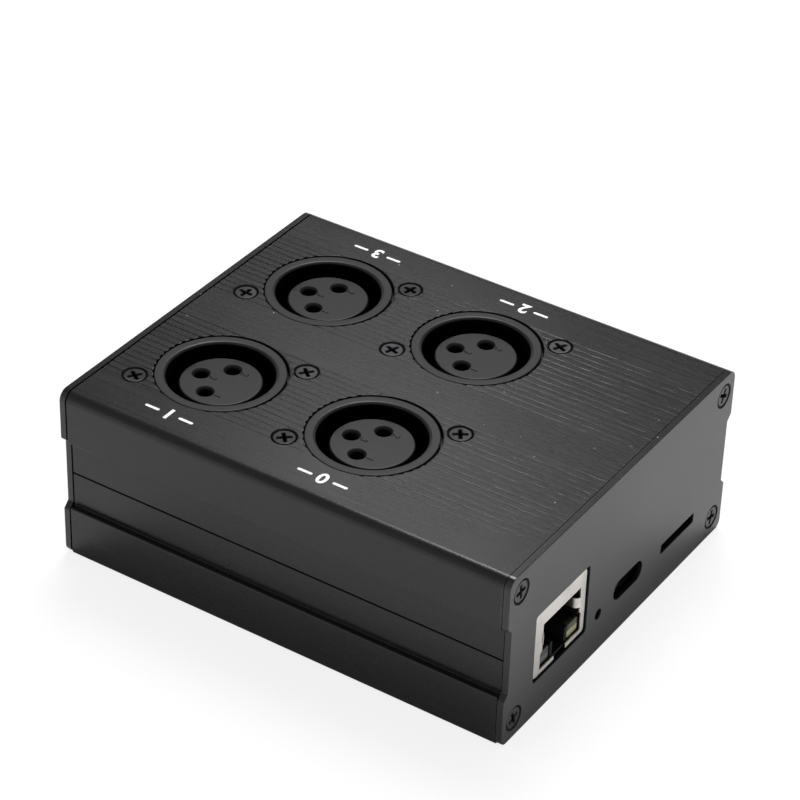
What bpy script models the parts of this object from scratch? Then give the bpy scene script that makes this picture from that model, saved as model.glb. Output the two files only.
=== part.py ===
"""Network to stage-lighting interface box: a split aluminium extrusion with four round three-pole sockets."""
import math

import bmesh
import bpy
from mathutils import Matrix, Vector

MM = 0.001

# Clearances between pieces
GAP = 0.3 * MM
SNUG_GAP = 0.2 * MM
SLIDER_GAP = 0.15 * MM

# How far a cutter runs past what it cuts
CUTTER_REACH = 1.0 * MM

# Case: X runs along the extrusion, Y across it, Z up from the surface it stands on
CASE_WIDTH = 76.0 * MM
CASE_HEIGHT = 35.0 * MM
BODY_LENGTH = 89.6 * MM
WALL = 1.5 * MM
ROOF_EDGE_RADIUS = 2.0 * MM
BASE_EDGE_RADIUS = 1.0 * MM
EDGE_STEPS = 5

# Long recess in each side of the case, and the lap joint of its halves inside it
RECESS_DEPTH = 1.2 * MM
RECESS_HALF_HEIGHT = 7.1 * MM
LAP_HEIGHT = 1.2 * MM
LAP_SKIN = 0.6 * MM

# Fine grooves along the roof, in a band on each side of the smooth middle strip
GROOVE_FIRST = 5.25 * MM
GROOVE_PITCH = 1.5 * MM
GROOVE_COUNT = 16
GROOVE_HALF_WIDTH = 0.2 * MM
GROOVE_DEPTH = 0.18 * MM

# End plates and their screws
PLATE_THICKNESS = 1.2 * MM
PLATE_ROOF_RADIUS = 2.0 * MM
PLATE_BASE_RADIUS = 1.6 * MM
PLATE_SCREW_INSET = 3.7 * MM
PLATE_SCREW_HEIGHT = 4.05 * MM
CHANNEL_RADIUS = 1.3 * MM
CHANNEL_SLIT = 1.2 * MM
CHANNEL_WALL = 0.55 * MM
CHANNEL_INNER_WALL = 0.8 * MM
END_SCREW_LENGTH = 9.0 * MM

# Countersunk screws with a cross recess
HEAD_RADIUS = 2.2 * MM
HEAD_SINK = 0.1 * MM
SCREW_TIP = 0.4 * MM
SHANK_RADIUS = 1.3 * MM
END_SHANK_RADIUS = CHANNEL_RADIUS - GAP
CROSS_REACH = 1.25 * MM
CROSS_WIDTH = 0.5 * MM
CROSS_DEPTH = 0.75 * MM
CROSS_TAPER = 0.45
SOCKET_SCREW_LENGTH = 8.0 * MM

# Main board
BOARD_THICKNESS = 1.2 * MM
BOARD_END_GAP = 0.9 * MM
BOARD_CORNER = 2.5 * MM
RAIL_REACH = 1.9 * MM
RAIL_HEIGHT = 1.3 * MM

# Packages on the board: length, width and height, and where they lie
PROCESSOR_SIZE = (13.0 * MM, 13.0 * MM, 1.2 * MM)
PROCESSOR_SETBACK = 9.0 * MM
MEMORY_SIZE = (8.0 * MM, 10.0 * MM, 1.0 * MM)
MEMORY_SETBACK = 6.0 * MM
ETHERNET_SIZE = (5.0 * MM, 5.0 * MM, 0.9 * MM)
ETHERNET_SHIFT = 3.0 * MM
INDUCTOR_SIZE = (5.0 * MM, 5.0 * MM, 2.4 * MM)
INDUCTOR_SHIFT = 6.0 * MM
DRIVER_SIZE = (5.0 * MM, 4.0 * MM, 1.6 * MM)
CHIP_DRAFT = 0.4 * MM

# Round sockets: collar, barrel, insert and contacts
SOCKET_CENTRE_X = -10.8 * MM
SOCKET_CENTRE_Y = -0.3 * MM
SOCKET_PITCH_X = 32.2 * MM
SOCKET_PITCH_Y = 33.2 * MM
COLLAR_RADIUS = 11.7 * MM
COLLAR_WALL = 1.95 * MM
COLLAR_LIP = 0.6 * MM
BARREL_STEP = 0.2 * MM
FLANGE_MARGIN = 3.5 * MM
FLANGE_THICKNESS = 2.5 * MM
FLANGE_CORNER = 3.0 * MM
SOCKET_SCREW_MARGIN = 3.4 * MM
SOCKET_SCREW_TURN = math.radians(37.5)
BOSS_RADIUS = 2.9 * MM
BOSS_DEPTH = 9.5 * MM
SHOULDER_DEPTH = 16.5 * MM
SHOULDER_WIDTH = 0.7 * MM
INSERT_RADIUS = 7.45 * MM
INSERT_DEPTH = 1.75 * MM
INSERT_EDGE = 0.3 * MM
INSERT_BASE = 2.5 * MM
PIN_HOLE_RADIUS = 1.25 * MM
PIN_HOLE_CHAMFER = 0.45 * MM
PIN_HOLE_NECK = 1.2 * MM
CONTACT_RADIUS = 1.5 * MM
CONTACT_BORE = 1.15 * MM
CONTACT_BORE_DEPTH = 11.0 * MM
TAIL_RADIUS = 0.45 * MM
TAIL_REACH = 0.7 * MM
PIN_PLACES = ((-0.4 * MM, -4.1 * MM), (-0.4 * MM, 4.1 * MM), (-4.35 * MM, 0.0))

# Network jack in the end plate
JACK_CENTRE_Y = -19.9 * MM
JACK_WIDTH = 16.8 * MM
JACK_HEIGHT = 13.8 * MM
JACK_LENGTH = 21.4 * MM
JACK_FRONT_SINK = 0.3 * MM
JACK_SHEET = 0.3 * MM
JACK_CORNER = 1.0 * MM
MOUTH_SHIFT = 0.5 * MM
MOUTH_WIDTH = 12.2 * MM
MOUTH_TOP = 10.5 * MM
MOUTH_BOTTOM = 1.0 * MM
PLUG_FLOOR = 4.1 * MM
PLUG_DEPTH = 13.5 * MM
LATCH_WIDTH = 3.9 * MM
LED_WIDTH = 3.5 * MM
LED_HEIGHT = 3.0 * MM
LED_LENGTH = 9.0 * MM
LED_MARGIN = 0.6 * MM
LED_CORNER = 0.4 * MM
CAVITY_INSET = 0.1 * MM
HOUSING_FLOOR = 0.6 * MM
WIRE_COUNT = 8
WIRE_PITCH = 1.02 * MM
WIRE_WIDTH = 0.4 * MM
WIRE_THICKNESS = 0.3 * MM
WIRE_SLOT = 0.7 * MM
WIRE_FRONT_WALL = 1.0 * MM
WIRE_TIP_PLACE = 2.5 * MM
WIRE_TIP_DROP = 1.8 * MM
FINGER_INSET = 0.1 * MM
FINGER_LOW = 6.3 * MM
FINGER_WIDTH = 2.1 * MM
FINGER_LENGTH = 6.5 * MM

# Stadium slot with its receptacle, card slot and reset switch
USB_CENTRE_Y = 3.1 * MM
USB_SLOT_WIDTH = 10.0 * MM
USB_SLOT_HEIGHT = 4.1 * MM
USB_WIDTH = 8.94 * MM
USB_HEIGHT = 3.26 * MM
USB_LENGTH = 7.3 * MM
USB_SHEET = 0.3 * MM
TONGUE_WIDTH = 6.2 * MM
TONGUE_THICKNESS = 0.7 * MM
TONGUE_BASE = 1.6 * MM
TONGUE_SINK = 0.8 * MM
CARD_CENTRE_Y = 20.8 * MM
CARD_SLOT_WIDTH = 11.9 * MM
CARD_SLOT_HEIGHT = 2.0 * MM
CARD_SOCKET_WIDTH = 14.0 * MM
CARD_SOCKET_HEIGHT = 1.9 * MM
CARD_SOCKET_LENGTH = 14.8 * MM
CARD_SHEET = 0.35 * MM
CARD_SIDE = 1.3 * MM
CARD_SLOT_CORNER = 0.3 * MM
PLATE_CUT_CORNER = 0.6 * MM
STADIUM = 0.49
BUTTON_Y = -7.1 * MM
BUTTON_RISE = 0.75 * MM
PINHOLE_RADIUS = 1.05 * MM
SWITCH_WIDTH = 4.6 * MM
SWITCH_HEIGHT = 1.8 * MM
SWITCH_LENGTH = 2.6 * MM
SWITCH_FRONT_GAP = 1.7 * MM
SWITCH_FRONT_WALL = 0.7 * MM
BUTTON_WIDTH = 1.6 * MM
BUTTON_THICKNESS = 0.8 * MM
BUTTON_REACH = 1.1 * MM
BUTTON_FOOT = 0.6 * MM
BUTTON_FOOT_WIDTH = 2.8 * MM
BUTTON_TRAVEL = 0.25 * MM

# Facets
ROUND_STEPS = 28
INSERT_STEPS = 24
SEAT_STEPS = 14
SMALL_STEPS = 12
SCREW_STEPS = 10
CHANNEL_STEPS = 10
CONTACT_STEPS = 8
CORNER_STEPS = 3
SHARP_ANGLE = math.radians(35)

# Heights and lengths that follow from the sizes above
SEAM_HEIGHT = CASE_HEIGHT / 2
HALF_WIDTH = CASE_WIDTH / 2
HALF_BODY = BODY_LENGTH / 2
RECESS_Y = HALF_WIDTH - RECESS_DEPTH
PLATE_INSIDE = HALF_BODY + GAP
PLATE_OUTSIDE = PLATE_INSIDE + PLATE_THICKNESS
CHANNEL_Y = HALF_WIDTH - PLATE_SCREW_INSET
CHANNEL_TOP = PLATE_SCREW_HEIGHT + CHANNEL_RADIUS + CHANNEL_WALL
CHANNEL_INNER_Y = CHANNEL_Y - CHANNEL_RADIUS - CHANNEL_INNER_WALL
BOARD_BOTTOM = CHANNEL_TOP + GAP
BOARD_TOP = BOARD_BOTTOM + BOARD_THICKNESS
BOARD_HALF_WIDTH = HALF_WIDTH - WALL - GAP
BOARD_FRONT = PLATE_INSIDE - BOARD_END_GAP
COMPONENT_BASE = BOARD_TOP + GAP
SOCKET_BOTTOM = COMPONENT_BASE - CASE_HEIGHT
FLANGE_TOP = -(WALL + GAP)
SCREW_HOLE_RADIUS = SHANK_RADIUS + GAP
SOCKET_BORE_RADIUS = COLLAR_RADIUS - COLLAR_WALL
BARREL_RADIUS = COLLAR_RADIUS - BARREL_STEP
SOCKET_SCREW_X = (COLLAR_RADIUS + SOCKET_SCREW_MARGIN) * math.cos(SOCKET_SCREW_TURN)
SOCKET_SCREW_Y = (COLLAR_RADIUS + SOCKET_SCREW_MARGIN) * math.sin(SOCKET_SCREW_TURN)
FLANGE_LENGTH = 2 * (SOCKET_SCREW_X + FLANGE_MARGIN)
FLANGE_WIDTH = 2 * (SOCKET_SCREW_Y + FLANGE_MARGIN)
JACK_FRONT = PLATE_OUTSIDE - JACK_FRONT_SINK
USB_FRONT = PLATE_INSIDE - GAP
USB_CENTRE_Z = COMPONENT_BASE + USB_HEIGHT / 2
CARD_CENTRE_Z = COMPONENT_BASE + CARD_SOCKET_HEIGHT / 2
BUTTON_HEIGHT = COMPONENT_BASE + BUTTON_RISE
SWITCH_FRONT = PLATE_INSIDE - SWITCH_FRONT_GAP
JACK_BACK = JACK_FRONT - JACK_LENGTH
JACK_INSET = JACK_SHEET + SNUG_GAP
JACK_LOW = JACK_CENTRE_Y - JACK_WIDTH / 2
JACK_HIGH = JACK_CENTRE_Y + JACK_WIDTH / 2
JACK_TOP = COMPONENT_BASE + JACK_HEIGHT
MOUTH_CENTRE = JACK_CENTRE_Y + MOUTH_SHIFT
MOUTH_HALF = MOUTH_WIDTH / 2
MOUTH_FLOOR = COMPONENT_BASE + MOUTH_BOTTOM
MOUTH_ROOF = COMPONENT_BASE + MOUTH_TOP
CAVITY_FLOOR = COMPONENT_BASE + PLUG_FLOOR
CAVITY_FRONT = JACK_FRONT - JACK_INSET
CAVITY_BACK = CAVITY_FRONT - PLUG_DEPTH

MATERIALS = {
    "black_anodised_case": ((0.035, 0.036, 0.040), 0.45, 0.85),
    "black_anodised_plate": ((0.045, 0.046, 0.050), 0.40, 0.85),
    "black_socket_plastic": ((0.045, 0.046, 0.048), 0.50, 0.0),
    "black_inner_plastic": ((0.012, 0.012, 0.013), 0.60, 0.0),
    "blackened_screw_steel": ((0.030, 0.030, 0.032), 0.35, 0.9),
    "tinned_steel": ((0.72, 0.70, 0.66), 0.30, 1.0),
    "contact_brass": ((0.80, 0.60, 0.25), 0.30, 1.0),
    "board_laminate": ((0.02, 0.12, 0.05), 0.45, 0.0),
    "chip_epoxy": ((0.02, 0.02, 0.022), 0.55, 0.0),
    "clear_green_lens": ((0.45, 0.62, 0.48), 0.20, 0.0),
    "clear_yellow_lens": ((0.75, 0.66, 0.25), 0.20, 0.0),
    "white_button_plastic": ((0.75, 0.74, 0.70), 0.50, 0.0),
}


def clear_scene():
    for item in list(bpy.data.objects):
        bpy.data.objects.remove(item, do_unlink=True)


def make_materials():
    made = {}
    for name, (colour, roughness, metallic) in MATERIALS.items():
        material = bpy.data.materials.new(name)
        material.use_nodes = True
        shader = material.node_tree.nodes["Principled BSDF"]
        shader.inputs["Base Color"].default_value = (*colour, 1.0)
        shader.inputs["Roughness"].default_value = roughness
        shader.inputs["Metallic"].default_value = metallic
        made[name] = material
    return made


def arc(centre, radius, start, end, steps):
    """Points on an arc from start to end, in degrees, both ends included."""
    turns = [math.radians(start + (end - start) * i / steps) for i in range(steps + 1)]
    return [(centre[0] + radius * math.cos(t), centre[1] + radius * math.sin(t)) for t in turns]


def circle(centre, radius, steps):
    return arc(centre, radius, 0, 360, steps)[:-1]


def rectangle(low, high):
    return [low, (high[0], low[1]), high, (low[0], high[1])]


def rounded_rectangle(centre, width, height, radius, steps=CORNER_STEPS):
    """Outline with four round corners; a radius of half the height gives a stadium."""
    x, y = width / 2 - radius, height / 2 - radius
    corners = ((x, y, 0), (-x, y, 90), (-x, -y, 180), (x, -y, 270))
    points = []
    for cx, cy, turn in corners:
        points += arc((centre[0] + cx, centre[1] + cy), radius, turn, turn + 90, steps)
    return points


def mirrored(half):
    """Whole outline from its +Y half, whose first and last point lie on the middle line."""
    return half + [(-y, z) for y, z in reversed(half[1:-1])]


def mesh_from(name, bm):
    bmesh.ops.remove_doubles(bm, verts=bm.verts, dist=1e-7)
    bmesh.ops.recalc_face_normals(bm, faces=bm.faces)
    mesh = bpy.data.meshes.new(name)
    bm.to_mesh(mesh)
    bm.free()
    mesh.shade_smooth()
    mesh.set_sharp_from_angle(angle=SHARP_ANGLE)
    return mesh


def extruded(name, outline, low, high, axis="Z", end_scale=1.0):
    """Prism of an outline: (x, y) points pushed along Z, or (y, z) points pushed along X."""
    bm = bmesh.new()
    places = [(a, b, low) if axis == "Z" else (low, a, b) for a, b in outline]
    face = bm.faces.new([bm.verts.new(spot) for spot in places])
    moved = bmesh.ops.extrude_face_region(bm, geom=[face])["geom"]
    ends = [item for item in moved if isinstance(item, bmesh.types.BMVert)]
    push = Vector((0, 0, high - low)) if axis == "Z" else Vector((high - low, 0, 0))
    bmesh.ops.translate(bm, verts=ends, vec=push)
    if end_scale != 1.0:
        bmesh.ops.scale(bm, verts=ends, vec=(end_scale, end_scale, 1))
    return mesh_from(name, bm)


def revolved(name, profile, steps):
    """Solid of a closed (radius, z) profile turned about Z."""
    bm = bmesh.new()
    ring = [bm.verts.new((r, 0, z)) for r, z in profile]
    pairs = list(zip(ring, ring[1:] + ring[:1]))
    edges = [bm.edges.new(pair) for pair in pairs if pair[0].co.x + pair[1].co.x > 1e-9]
    bmesh.ops.spin(bm, geom=ring + edges, cent=(0, 0, 0), axis=(0, 0, 1), angle=math.tau, steps=steps)
    return mesh_from(name, bm)


def place(name, mesh, material, location=(0, 0, 0), rotation=(0, 0, 0), parent=None):
    """Puts a mesh in the scene as one named sub-part."""
    item = bpy.data.objects.new(name, mesh)
    bpy.context.scene.collection.objects.link(item)
    if not mesh.materials:
        mesh.materials.append(material)
    item.parent = parent
    item.location = location
    item.rotation_euler = rotation
    return item


def combine(name, mesh, *tools):
    """Mesh after a row of Boolean steps, each given as (operation, mesh, place, rotation)."""
    base = bpy.data.objects.new(name, mesh)
    bpy.context.scene.collection.objects.link(base)
    helpers = []
    for operation, tool_mesh, location, rotation in tools:
        helper = bpy.data.objects.new("cutter", tool_mesh)
        bpy.context.scene.collection.objects.link(helper)
        helper.matrix_world = Matrix.LocRotScale(Vector(location), rotation, None)
        helper.hide_render = True
        helper.display_type = "WIRE"
        step = base.modifiers.new(operation.title(), "BOOLEAN")
        step.operation = operation
        step.object = helper
        helpers.append(helper)
    bpy.context.view_layer.update()
    ready = base.evaluated_get(bpy.context.evaluated_depsgraph_get())
    result = bpy.data.meshes.new_from_object(ready)
    result.name = name
    for item in helpers + [base]:
        bpy.data.objects.remove(item, do_unlink=True)
    result.set_sharp_from_angle(angle=SHARP_ANGLE)
    return result


def cut(mesh, location=(0, 0, 0), rotation=None):
    return ("DIFFERENCE", mesh, location, rotation)


def add(mesh, location=(0, 0, 0), rotation=None):
    return ("UNION", mesh, location, rotation)


def box(name, low, high):
    return extruded(name, rectangle(low[:2], high[:2]), low[2], high[2])


def front_box(name, y_span, z_span, front, depth):
    """Box given by its spans across the end plate, its front and how far it reaches inwards."""
    return box(name, (front - depth, y_span[0], z_span[0]), (front, y_span[1], z_span[1]))


def side_steps():
    """Height of the recess's lower and upper ledge."""
    return SEAM_HEIGHT - RECESS_HALF_HEIGHT, SEAM_HEIGHT + RECESS_HALF_HEIGHT


def channel_outline(z):
    """Screw channel seen from the end, round from the foot of the slit in its inner wall to the slit's top."""
    half_slit = CHANNEL_SLIT / 2
    half_turn = math.degrees(math.asin(half_slit / CHANNEL_RADIUS))
    round_part = arc((CHANNEL_Y, z), CHANNEL_RADIUS, 180 + half_turn, 540 - half_turn, CHANNEL_STEPS)
    return [(CHANNEL_INNER_Y, z - half_slit)] + round_part + [(CHANNEL_INNER_Y, z + half_slit)]


def bottom_outline():
    """Right half of the lower cover: base, recess, lap joint, board slot and screw channel."""
    low_ledge = side_steps()[0]
    inner_y = HALF_WIDTH - WALL
    web_y = RECESS_Y - WALL
    tongue_y = RECESS_Y - LAP_SKIN - GAP
    skin_top = SEAM_HEIGHT - GAP / 2
    tongue_top = SEAM_HEIGHT + LAP_HEIGHT - GAP / 2
    slot_top = BOARD_TOP + GAP
    rail_top = slot_top + RAIL_HEIGHT
    half = [(0.0, 0.0)]
    half += arc((HALF_WIDTH - BASE_EDGE_RADIUS, BASE_EDGE_RADIUS), BASE_EDGE_RADIUS, 270, 360, EDGE_STEPS)
    half += [(HALF_WIDTH, low_ledge), (RECESS_Y, low_ledge), (RECESS_Y, skin_top)]
    half += [(tongue_y, skin_top), (tongue_y, tongue_top), (web_y, tongue_top)]
    half += [(web_y, rail_top), (inner_y - RAIL_REACH, rail_top), (inner_y - RAIL_REACH, slot_top)]
    half += [(inner_y, slot_top), (inner_y, CHANNEL_TOP), (CHANNEL_INNER_Y, CHANNEL_TOP)]
    half += reversed(channel_outline(PLATE_SCREW_HEIGHT))
    half += [(CHANNEL_INNER_Y, WALL), (0.0, WALL)]
    return mirrored(half)


def top_outline():
    """Right half of the upper cover: grooved roof, recess, lap joint and screw channel."""
    high_ledge = side_steps()[1]
    inner_y = HALF_WIDTH - WALL
    web_y = RECESS_Y - WALL
    skin_y = RECESS_Y - LAP_SKIN
    skin_foot = SEAM_HEIGHT + GAP / 2
    tongue_foot = SEAM_HEIGHT + LAP_HEIGHT + GAP / 2
    web_top = high_ledge + WALL
    channel_foot = CASE_HEIGHT - CHANNEL_TOP
    roof_inside = CASE_HEIGHT - WALL
    half = [(0.0, CASE_HEIGHT)]
    for i in range(GROOVE_COUNT):
        y = GROOVE_FIRST + i * GROOVE_PITCH
        half += [(y - GROOVE_HALF_WIDTH, CASE_HEIGHT), (y, CASE_HEIGHT - GROOVE_DEPTH)]
        half += [(y + GROOVE_HALF_WIDTH, CASE_HEIGHT)]
    corner = (HALF_WIDTH - ROOF_EDGE_RADIUS, CASE_HEIGHT - ROOF_EDGE_RADIUS)
    half += arc(corner, ROOF_EDGE_RADIUS, 90, 0, EDGE_STEPS)
    half += [(HALF_WIDTH, high_ledge), (RECESS_Y, high_ledge), (RECESS_Y, skin_foot)]
    half += [(skin_y, skin_foot), (skin_y, tongue_foot), (web_y, tongue_foot)]
    half += [(web_y, web_top), (inner_y, web_top), (inner_y, channel_foot), (CHANNEL_INNER_Y, channel_foot)]
    half += channel_outline(CASE_HEIGHT - PLATE_SCREW_HEIGHT)
    half += [(CHANNEL_INNER_Y, roof_inside), (0.0, roof_inside)]
    return mirrored(half)


def cover_mesh(name, outline):
    return extruded(name, outline, -HALF_BODY, HALF_BODY, "X")


def countersink_cutter():
    """Seat of a countersunk head with its through hole, pointing up, with the face at z = 0."""
    rise = CUTTER_REACH
    seat = HEAD_RADIUS + GAP
    throat = -(seat - SCREW_HOLE_RADIUS)
    reach = -WALL - CUTTER_REACH
    profile = [(0, rise), (seat, rise), (seat, 0), (SCREW_HOLE_RADIUS, throat)]
    profile += [(SCREW_HOLE_RADIUS, reach), (0, reach)]
    return revolved("countersink_cutter", profile, SEAT_STEPS)


def screw_mesh(name, shank_radius, length):
    """Countersunk screw along Z, its head's top just under z = 0."""
    top = -HEAD_SINK
    neck = top - (HEAD_RADIUS - shank_radius)
    profile = [(0, top), (HEAD_RADIUS, top), (shank_radius, neck)]
    profile += [(shank_radius, SCREW_TIP - length), (shank_radius - SCREW_TIP, -length), (0, -length)]
    body = revolved(name, profile, SCREW_STEPS)
    near, far = CROSS_WIDTH / 2, CROSS_REACH
    quarter = [(far, -near), (far, near), (near, near)]
    turns = ((1, 0), (0, 1), (-1, 0), (0, -1))
    cross = [(x * c - y * s, x * s + y * c) for c, s in turns for x, y in quarter]
    recess = extruded("cross_cutter", cross, 0, top - CROSS_DEPTH, end_scale=CROSS_TAPER)
    return combine(name, body, cut(recess))


def plate_outline():
    """Plate seen from the end: round corners, and side notches with sloped ends over the case's recesses."""
    low, high = side_steps()
    slope = RECESS_DEPTH / 2
    half = [(0.0, 0.0)]
    half += arc((HALF_WIDTH - PLATE_BASE_RADIUS, PLATE_BASE_RADIUS), PLATE_BASE_RADIUS, 270, 360, EDGE_STEPS)
    half += [(HALF_WIDTH, low - slope), (RECESS_Y, low + slope)]
    half += [(RECESS_Y, high - slope), (HALF_WIDTH, high + slope)]
    corner = (HALF_WIDTH - PLATE_ROOF_RADIUS, CASE_HEIGHT - PLATE_ROOF_RADIUS)
    half += arc(corner, PLATE_ROOF_RADIUS, 0, 90, EDGE_STEPS)
    half += [(0.0, CASE_HEIGHT)]
    return mirrored(half)


def plate_screw_places():
    heights = (PLATE_SCREW_HEIGHT, CASE_HEIGHT - PLATE_SCREW_HEIGHT)
    return [(side * CHANNEL_Y, z) for side in (-1, 1) for z in heights]


def turned_to(direction):
    """Rotation that carries +Z to +X or -X."""
    return Matrix.Rotation(direction * math.pi / 2, 4, "Y").to_quaternion()


def plate_mesh(name, side):
    """End plate at one end, with its four screw seats."""
    inner, outer = sorted((side * PLATE_INSIDE, side * PLATE_OUTSIDE))
    blank = extruded(name, plate_outline(), inner, outer, "X")
    seat = countersink_cutter()
    cuts = [cut(seat, (side * PLATE_OUTSIDE, y, z), turned_to(side)) for y, z in plate_screw_places()]
    return combine(name, blank, *cuts)


def through_plate(name, outline):
    return extruded(name, outline, PLATE_INSIDE - CUTTER_REACH, PLATE_OUTSIDE + CUTTER_REACH, "X")


def connector_plate_mesh():
    jack_middle = (JACK_CENTRE_Y, COMPONENT_BASE + JACK_HEIGHT / 2)
    usb_middle = (USB_CENTRE_Y, USB_CENTRE_Z)
    card_middle = (CARD_CENTRE_Y, CARD_CENTRE_Z)
    outlines = [
        rounded_rectangle(jack_middle, JACK_WIDTH + 2 * GAP, JACK_HEIGHT + 2 * GAP, PLATE_CUT_CORNER),
        rounded_rectangle(usb_middle, USB_SLOT_WIDTH, USB_SLOT_HEIGHT, USB_SLOT_HEIGHT * STADIUM, 6),
        rounded_rectangle(card_middle, CARD_SLOT_WIDTH, CARD_SLOT_HEIGHT, CARD_SLOT_CORNER, 2),
        circle((BUTTON_Y, BUTTON_HEIGHT), PINHOLE_RADIUS, SEAT_STEPS),
    ]
    cuts = [cut(through_plate("plate_cutter", outline)) for outline in outlines]
    return combine("connector_end_plate", plate_mesh("connector_end_plate", 1), *cuts)


def socket_places():
    """Centres of sockets 0 to 3, as they are numbered on the roof."""
    near, far = SOCKET_CENTRE_Y - SOCKET_PITCH_Y / 2, SOCKET_CENTRE_Y + SOCKET_PITCH_Y / 2
    left, right = SOCKET_CENTRE_X - SOCKET_PITCH_X / 2, SOCKET_CENTRE_X + SOCKET_PITCH_X / 2
    return [(right, near), (left, near), (right, far), (left, far)]


def socket_screw_offsets():
    return [(SOCKET_SCREW_X, SOCKET_SCREW_Y), (-SOCKET_SCREW_X, -SOCKET_SCREW_Y)]


def top_cover_mesh():
    panel_circle = circle((0, 0), COLLAR_RADIUS + GAP, ROUND_STEPS)
    panel_hole = extruded("panel_cutter", panel_circle, -WALL - CUTTER_REACH, CUTTER_REACH)
    seat = countersink_cutter()
    cuts = []
    for x, y in socket_places():
        cuts.append(cut(panel_hole, (x, y, CASE_HEIGHT)))
        cuts += [cut(seat, (x + dx, y + dy, CASE_HEIGHT)) for dx, dy in socket_screw_offsets()]
    return combine("top_cover", cover_mesh("top_cover", top_outline()), *cuts)


def socket_housing_mesh():
    """Collar, barrel and flange of a round socket, with z = 0 at the roof's face."""
    step_top = FLANGE_TOP - FLANGE_THICKNESS / 2
    outer = [(0, 0), (COLLAR_RADIUS, 0), (COLLAR_RADIUS, step_top), (BARREL_RADIUS, step_top - BARREL_STEP)]
    outer += [(BARREL_RADIUS, SOCKET_BOTTOM), (0, SOCKET_BOTTOM)]
    body = revolved("socket_housing", outer, ROUND_STEPS)
    plate = rounded_rectangle((0, 0), FLANGE_LENGTH, FLANGE_WIDTH, FLANGE_CORNER)
    flange = extruded("flange", plate, FLANGE_TOP - FLANGE_THICKNESS, FLANGE_TOP)
    boss = extruded("boss", circle((0, 0), BOSS_RADIUS, SMALL_STEPS), -BOSS_DEPTH, step_top)
    lip = arc((SOCKET_BORE_RADIUS + COLLAR_LIP, -COLLAR_LIP), COLLAR_LIP, 90, 180, CORNER_STEPS)
    rear = SOCKET_BORE_RADIUS + SHOULDER_WIDTH
    below = SOCKET_BOTTOM - CUTTER_REACH
    bore = [(0, CUTTER_REACH), (SOCKET_BORE_RADIUS + COLLAR_LIP, CUTTER_REACH)] + lip
    bore += [(SOCKET_BORE_RADIUS, -SHOULDER_DEPTH), (rear, -SHOULDER_DEPTH), (rear, below), (0, below)]
    bore_mesh = revolved("bore_cutter", bore, ROUND_STEPS)
    pilot_low = -BOSS_DEPTH - CUTTER_REACH
    pilot = extruded("pilot_cutter", circle((0, 0), SCREW_HOLE_RADIUS, SCREW_STEPS), pilot_low, 0)
    steps = [add(flange)]
    steps += [add(boss, (dx, dy, 0)) for dx, dy in socket_screw_offsets()]
    steps += [cut(bore_mesh)]
    steps += [cut(pilot, (dx, dy, 0)) for dx, dy in socket_screw_offsets()]
    return combine("socket_housing", body, *steps)


def insert_mesh():
    """Contact carrier of a socket: a round stem with three holes on a wider base."""
    top = -INSERT_DEPTH
    base_top = -SHOULDER_DEPTH - GAP
    base_low = base_top - INSERT_BASE
    base_radius = SOCKET_BORE_RADIUS + SHOULDER_WIDTH - GAP
    profile = [(0, top), (INSERT_RADIUS - INSERT_EDGE, top), (INSERT_RADIUS, top - INSERT_EDGE)]
    profile += [(INSERT_RADIUS, base_top), (base_radius, base_top), (base_radius, base_low), (0, base_low)]
    body = revolved("socket_insert", profile, INSERT_STEPS)
    mouth = PIN_HOLE_RADIUS + PIN_HOLE_CHAMFER
    neck = top - PIN_HOLE_NECK
    cavity = CONTACT_RADIUS + GAP
    above, below = top + CUTTER_REACH, base_low - CUTTER_REACH
    hole = [(0, above), (mouth, above), (mouth, top), (PIN_HOLE_RADIUS, top - PIN_HOLE_CHAMFER)]
    hole += [(PIN_HOLE_RADIUS, neck), (cavity, neck), (cavity, below), (0, below)]
    hole_mesh = revolved("pin_hole_cutter", hole, SMALL_STEPS)
    return combine("socket_insert", body, *[cut(hole_mesh, (x, y, 0)) for x, y in PIN_PLACES])


def contact_mesh():
    """Turned female contact with a solder tail that passes through the board."""
    top = -INSERT_DEPTH - PIN_HOLE_NECK - GAP
    floor = top - CONTACT_BORE_DEPTH
    foot = -SHOULDER_DEPTH - GAP - INSERT_BASE
    tail = BOARD_BOTTOM - TAIL_REACH - CASE_HEIGHT
    profile = [(0, floor), (CONTACT_BORE, floor), (CONTACT_BORE, top), (CONTACT_RADIUS, top)]
    profile += [(CONTACT_RADIUS, foot), (TAIL_RADIUS, foot), (TAIL_RADIUS, tail), (0, tail)]
    return revolved("socket_contact", profile, CONTACT_STEPS)


def board_mesh():
    """Circuit board with cut corners and a hole for each contact's tail."""
    x, y, c = BOARD_FRONT, BOARD_HALF_WIDTH, BOARD_CORNER
    far_side = [(x, y - c), (x - c, y), (c - x, y), (-x, y - c)]
    outline = far_side + [(a, -b) for a, b in reversed(far_side)]
    blank = extruded("main_board", outline, BOARD_BOTTOM, BOARD_TOP)
    tail_hole = circle((0, 0), TAIL_RADIUS + GAP, CONTACT_STEPS)
    hole = extruded("tail_cutter", tail_hole, BOARD_BOTTOM - CUTTER_REACH, BOARD_TOP + CUTTER_REACH)
    cuts = [cut(hole, (x + dx, y + dy, 0)) for x, y in socket_places() for dx, dy in PIN_PLACES]
    return combine("main_board", blank, *cuts)


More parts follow.
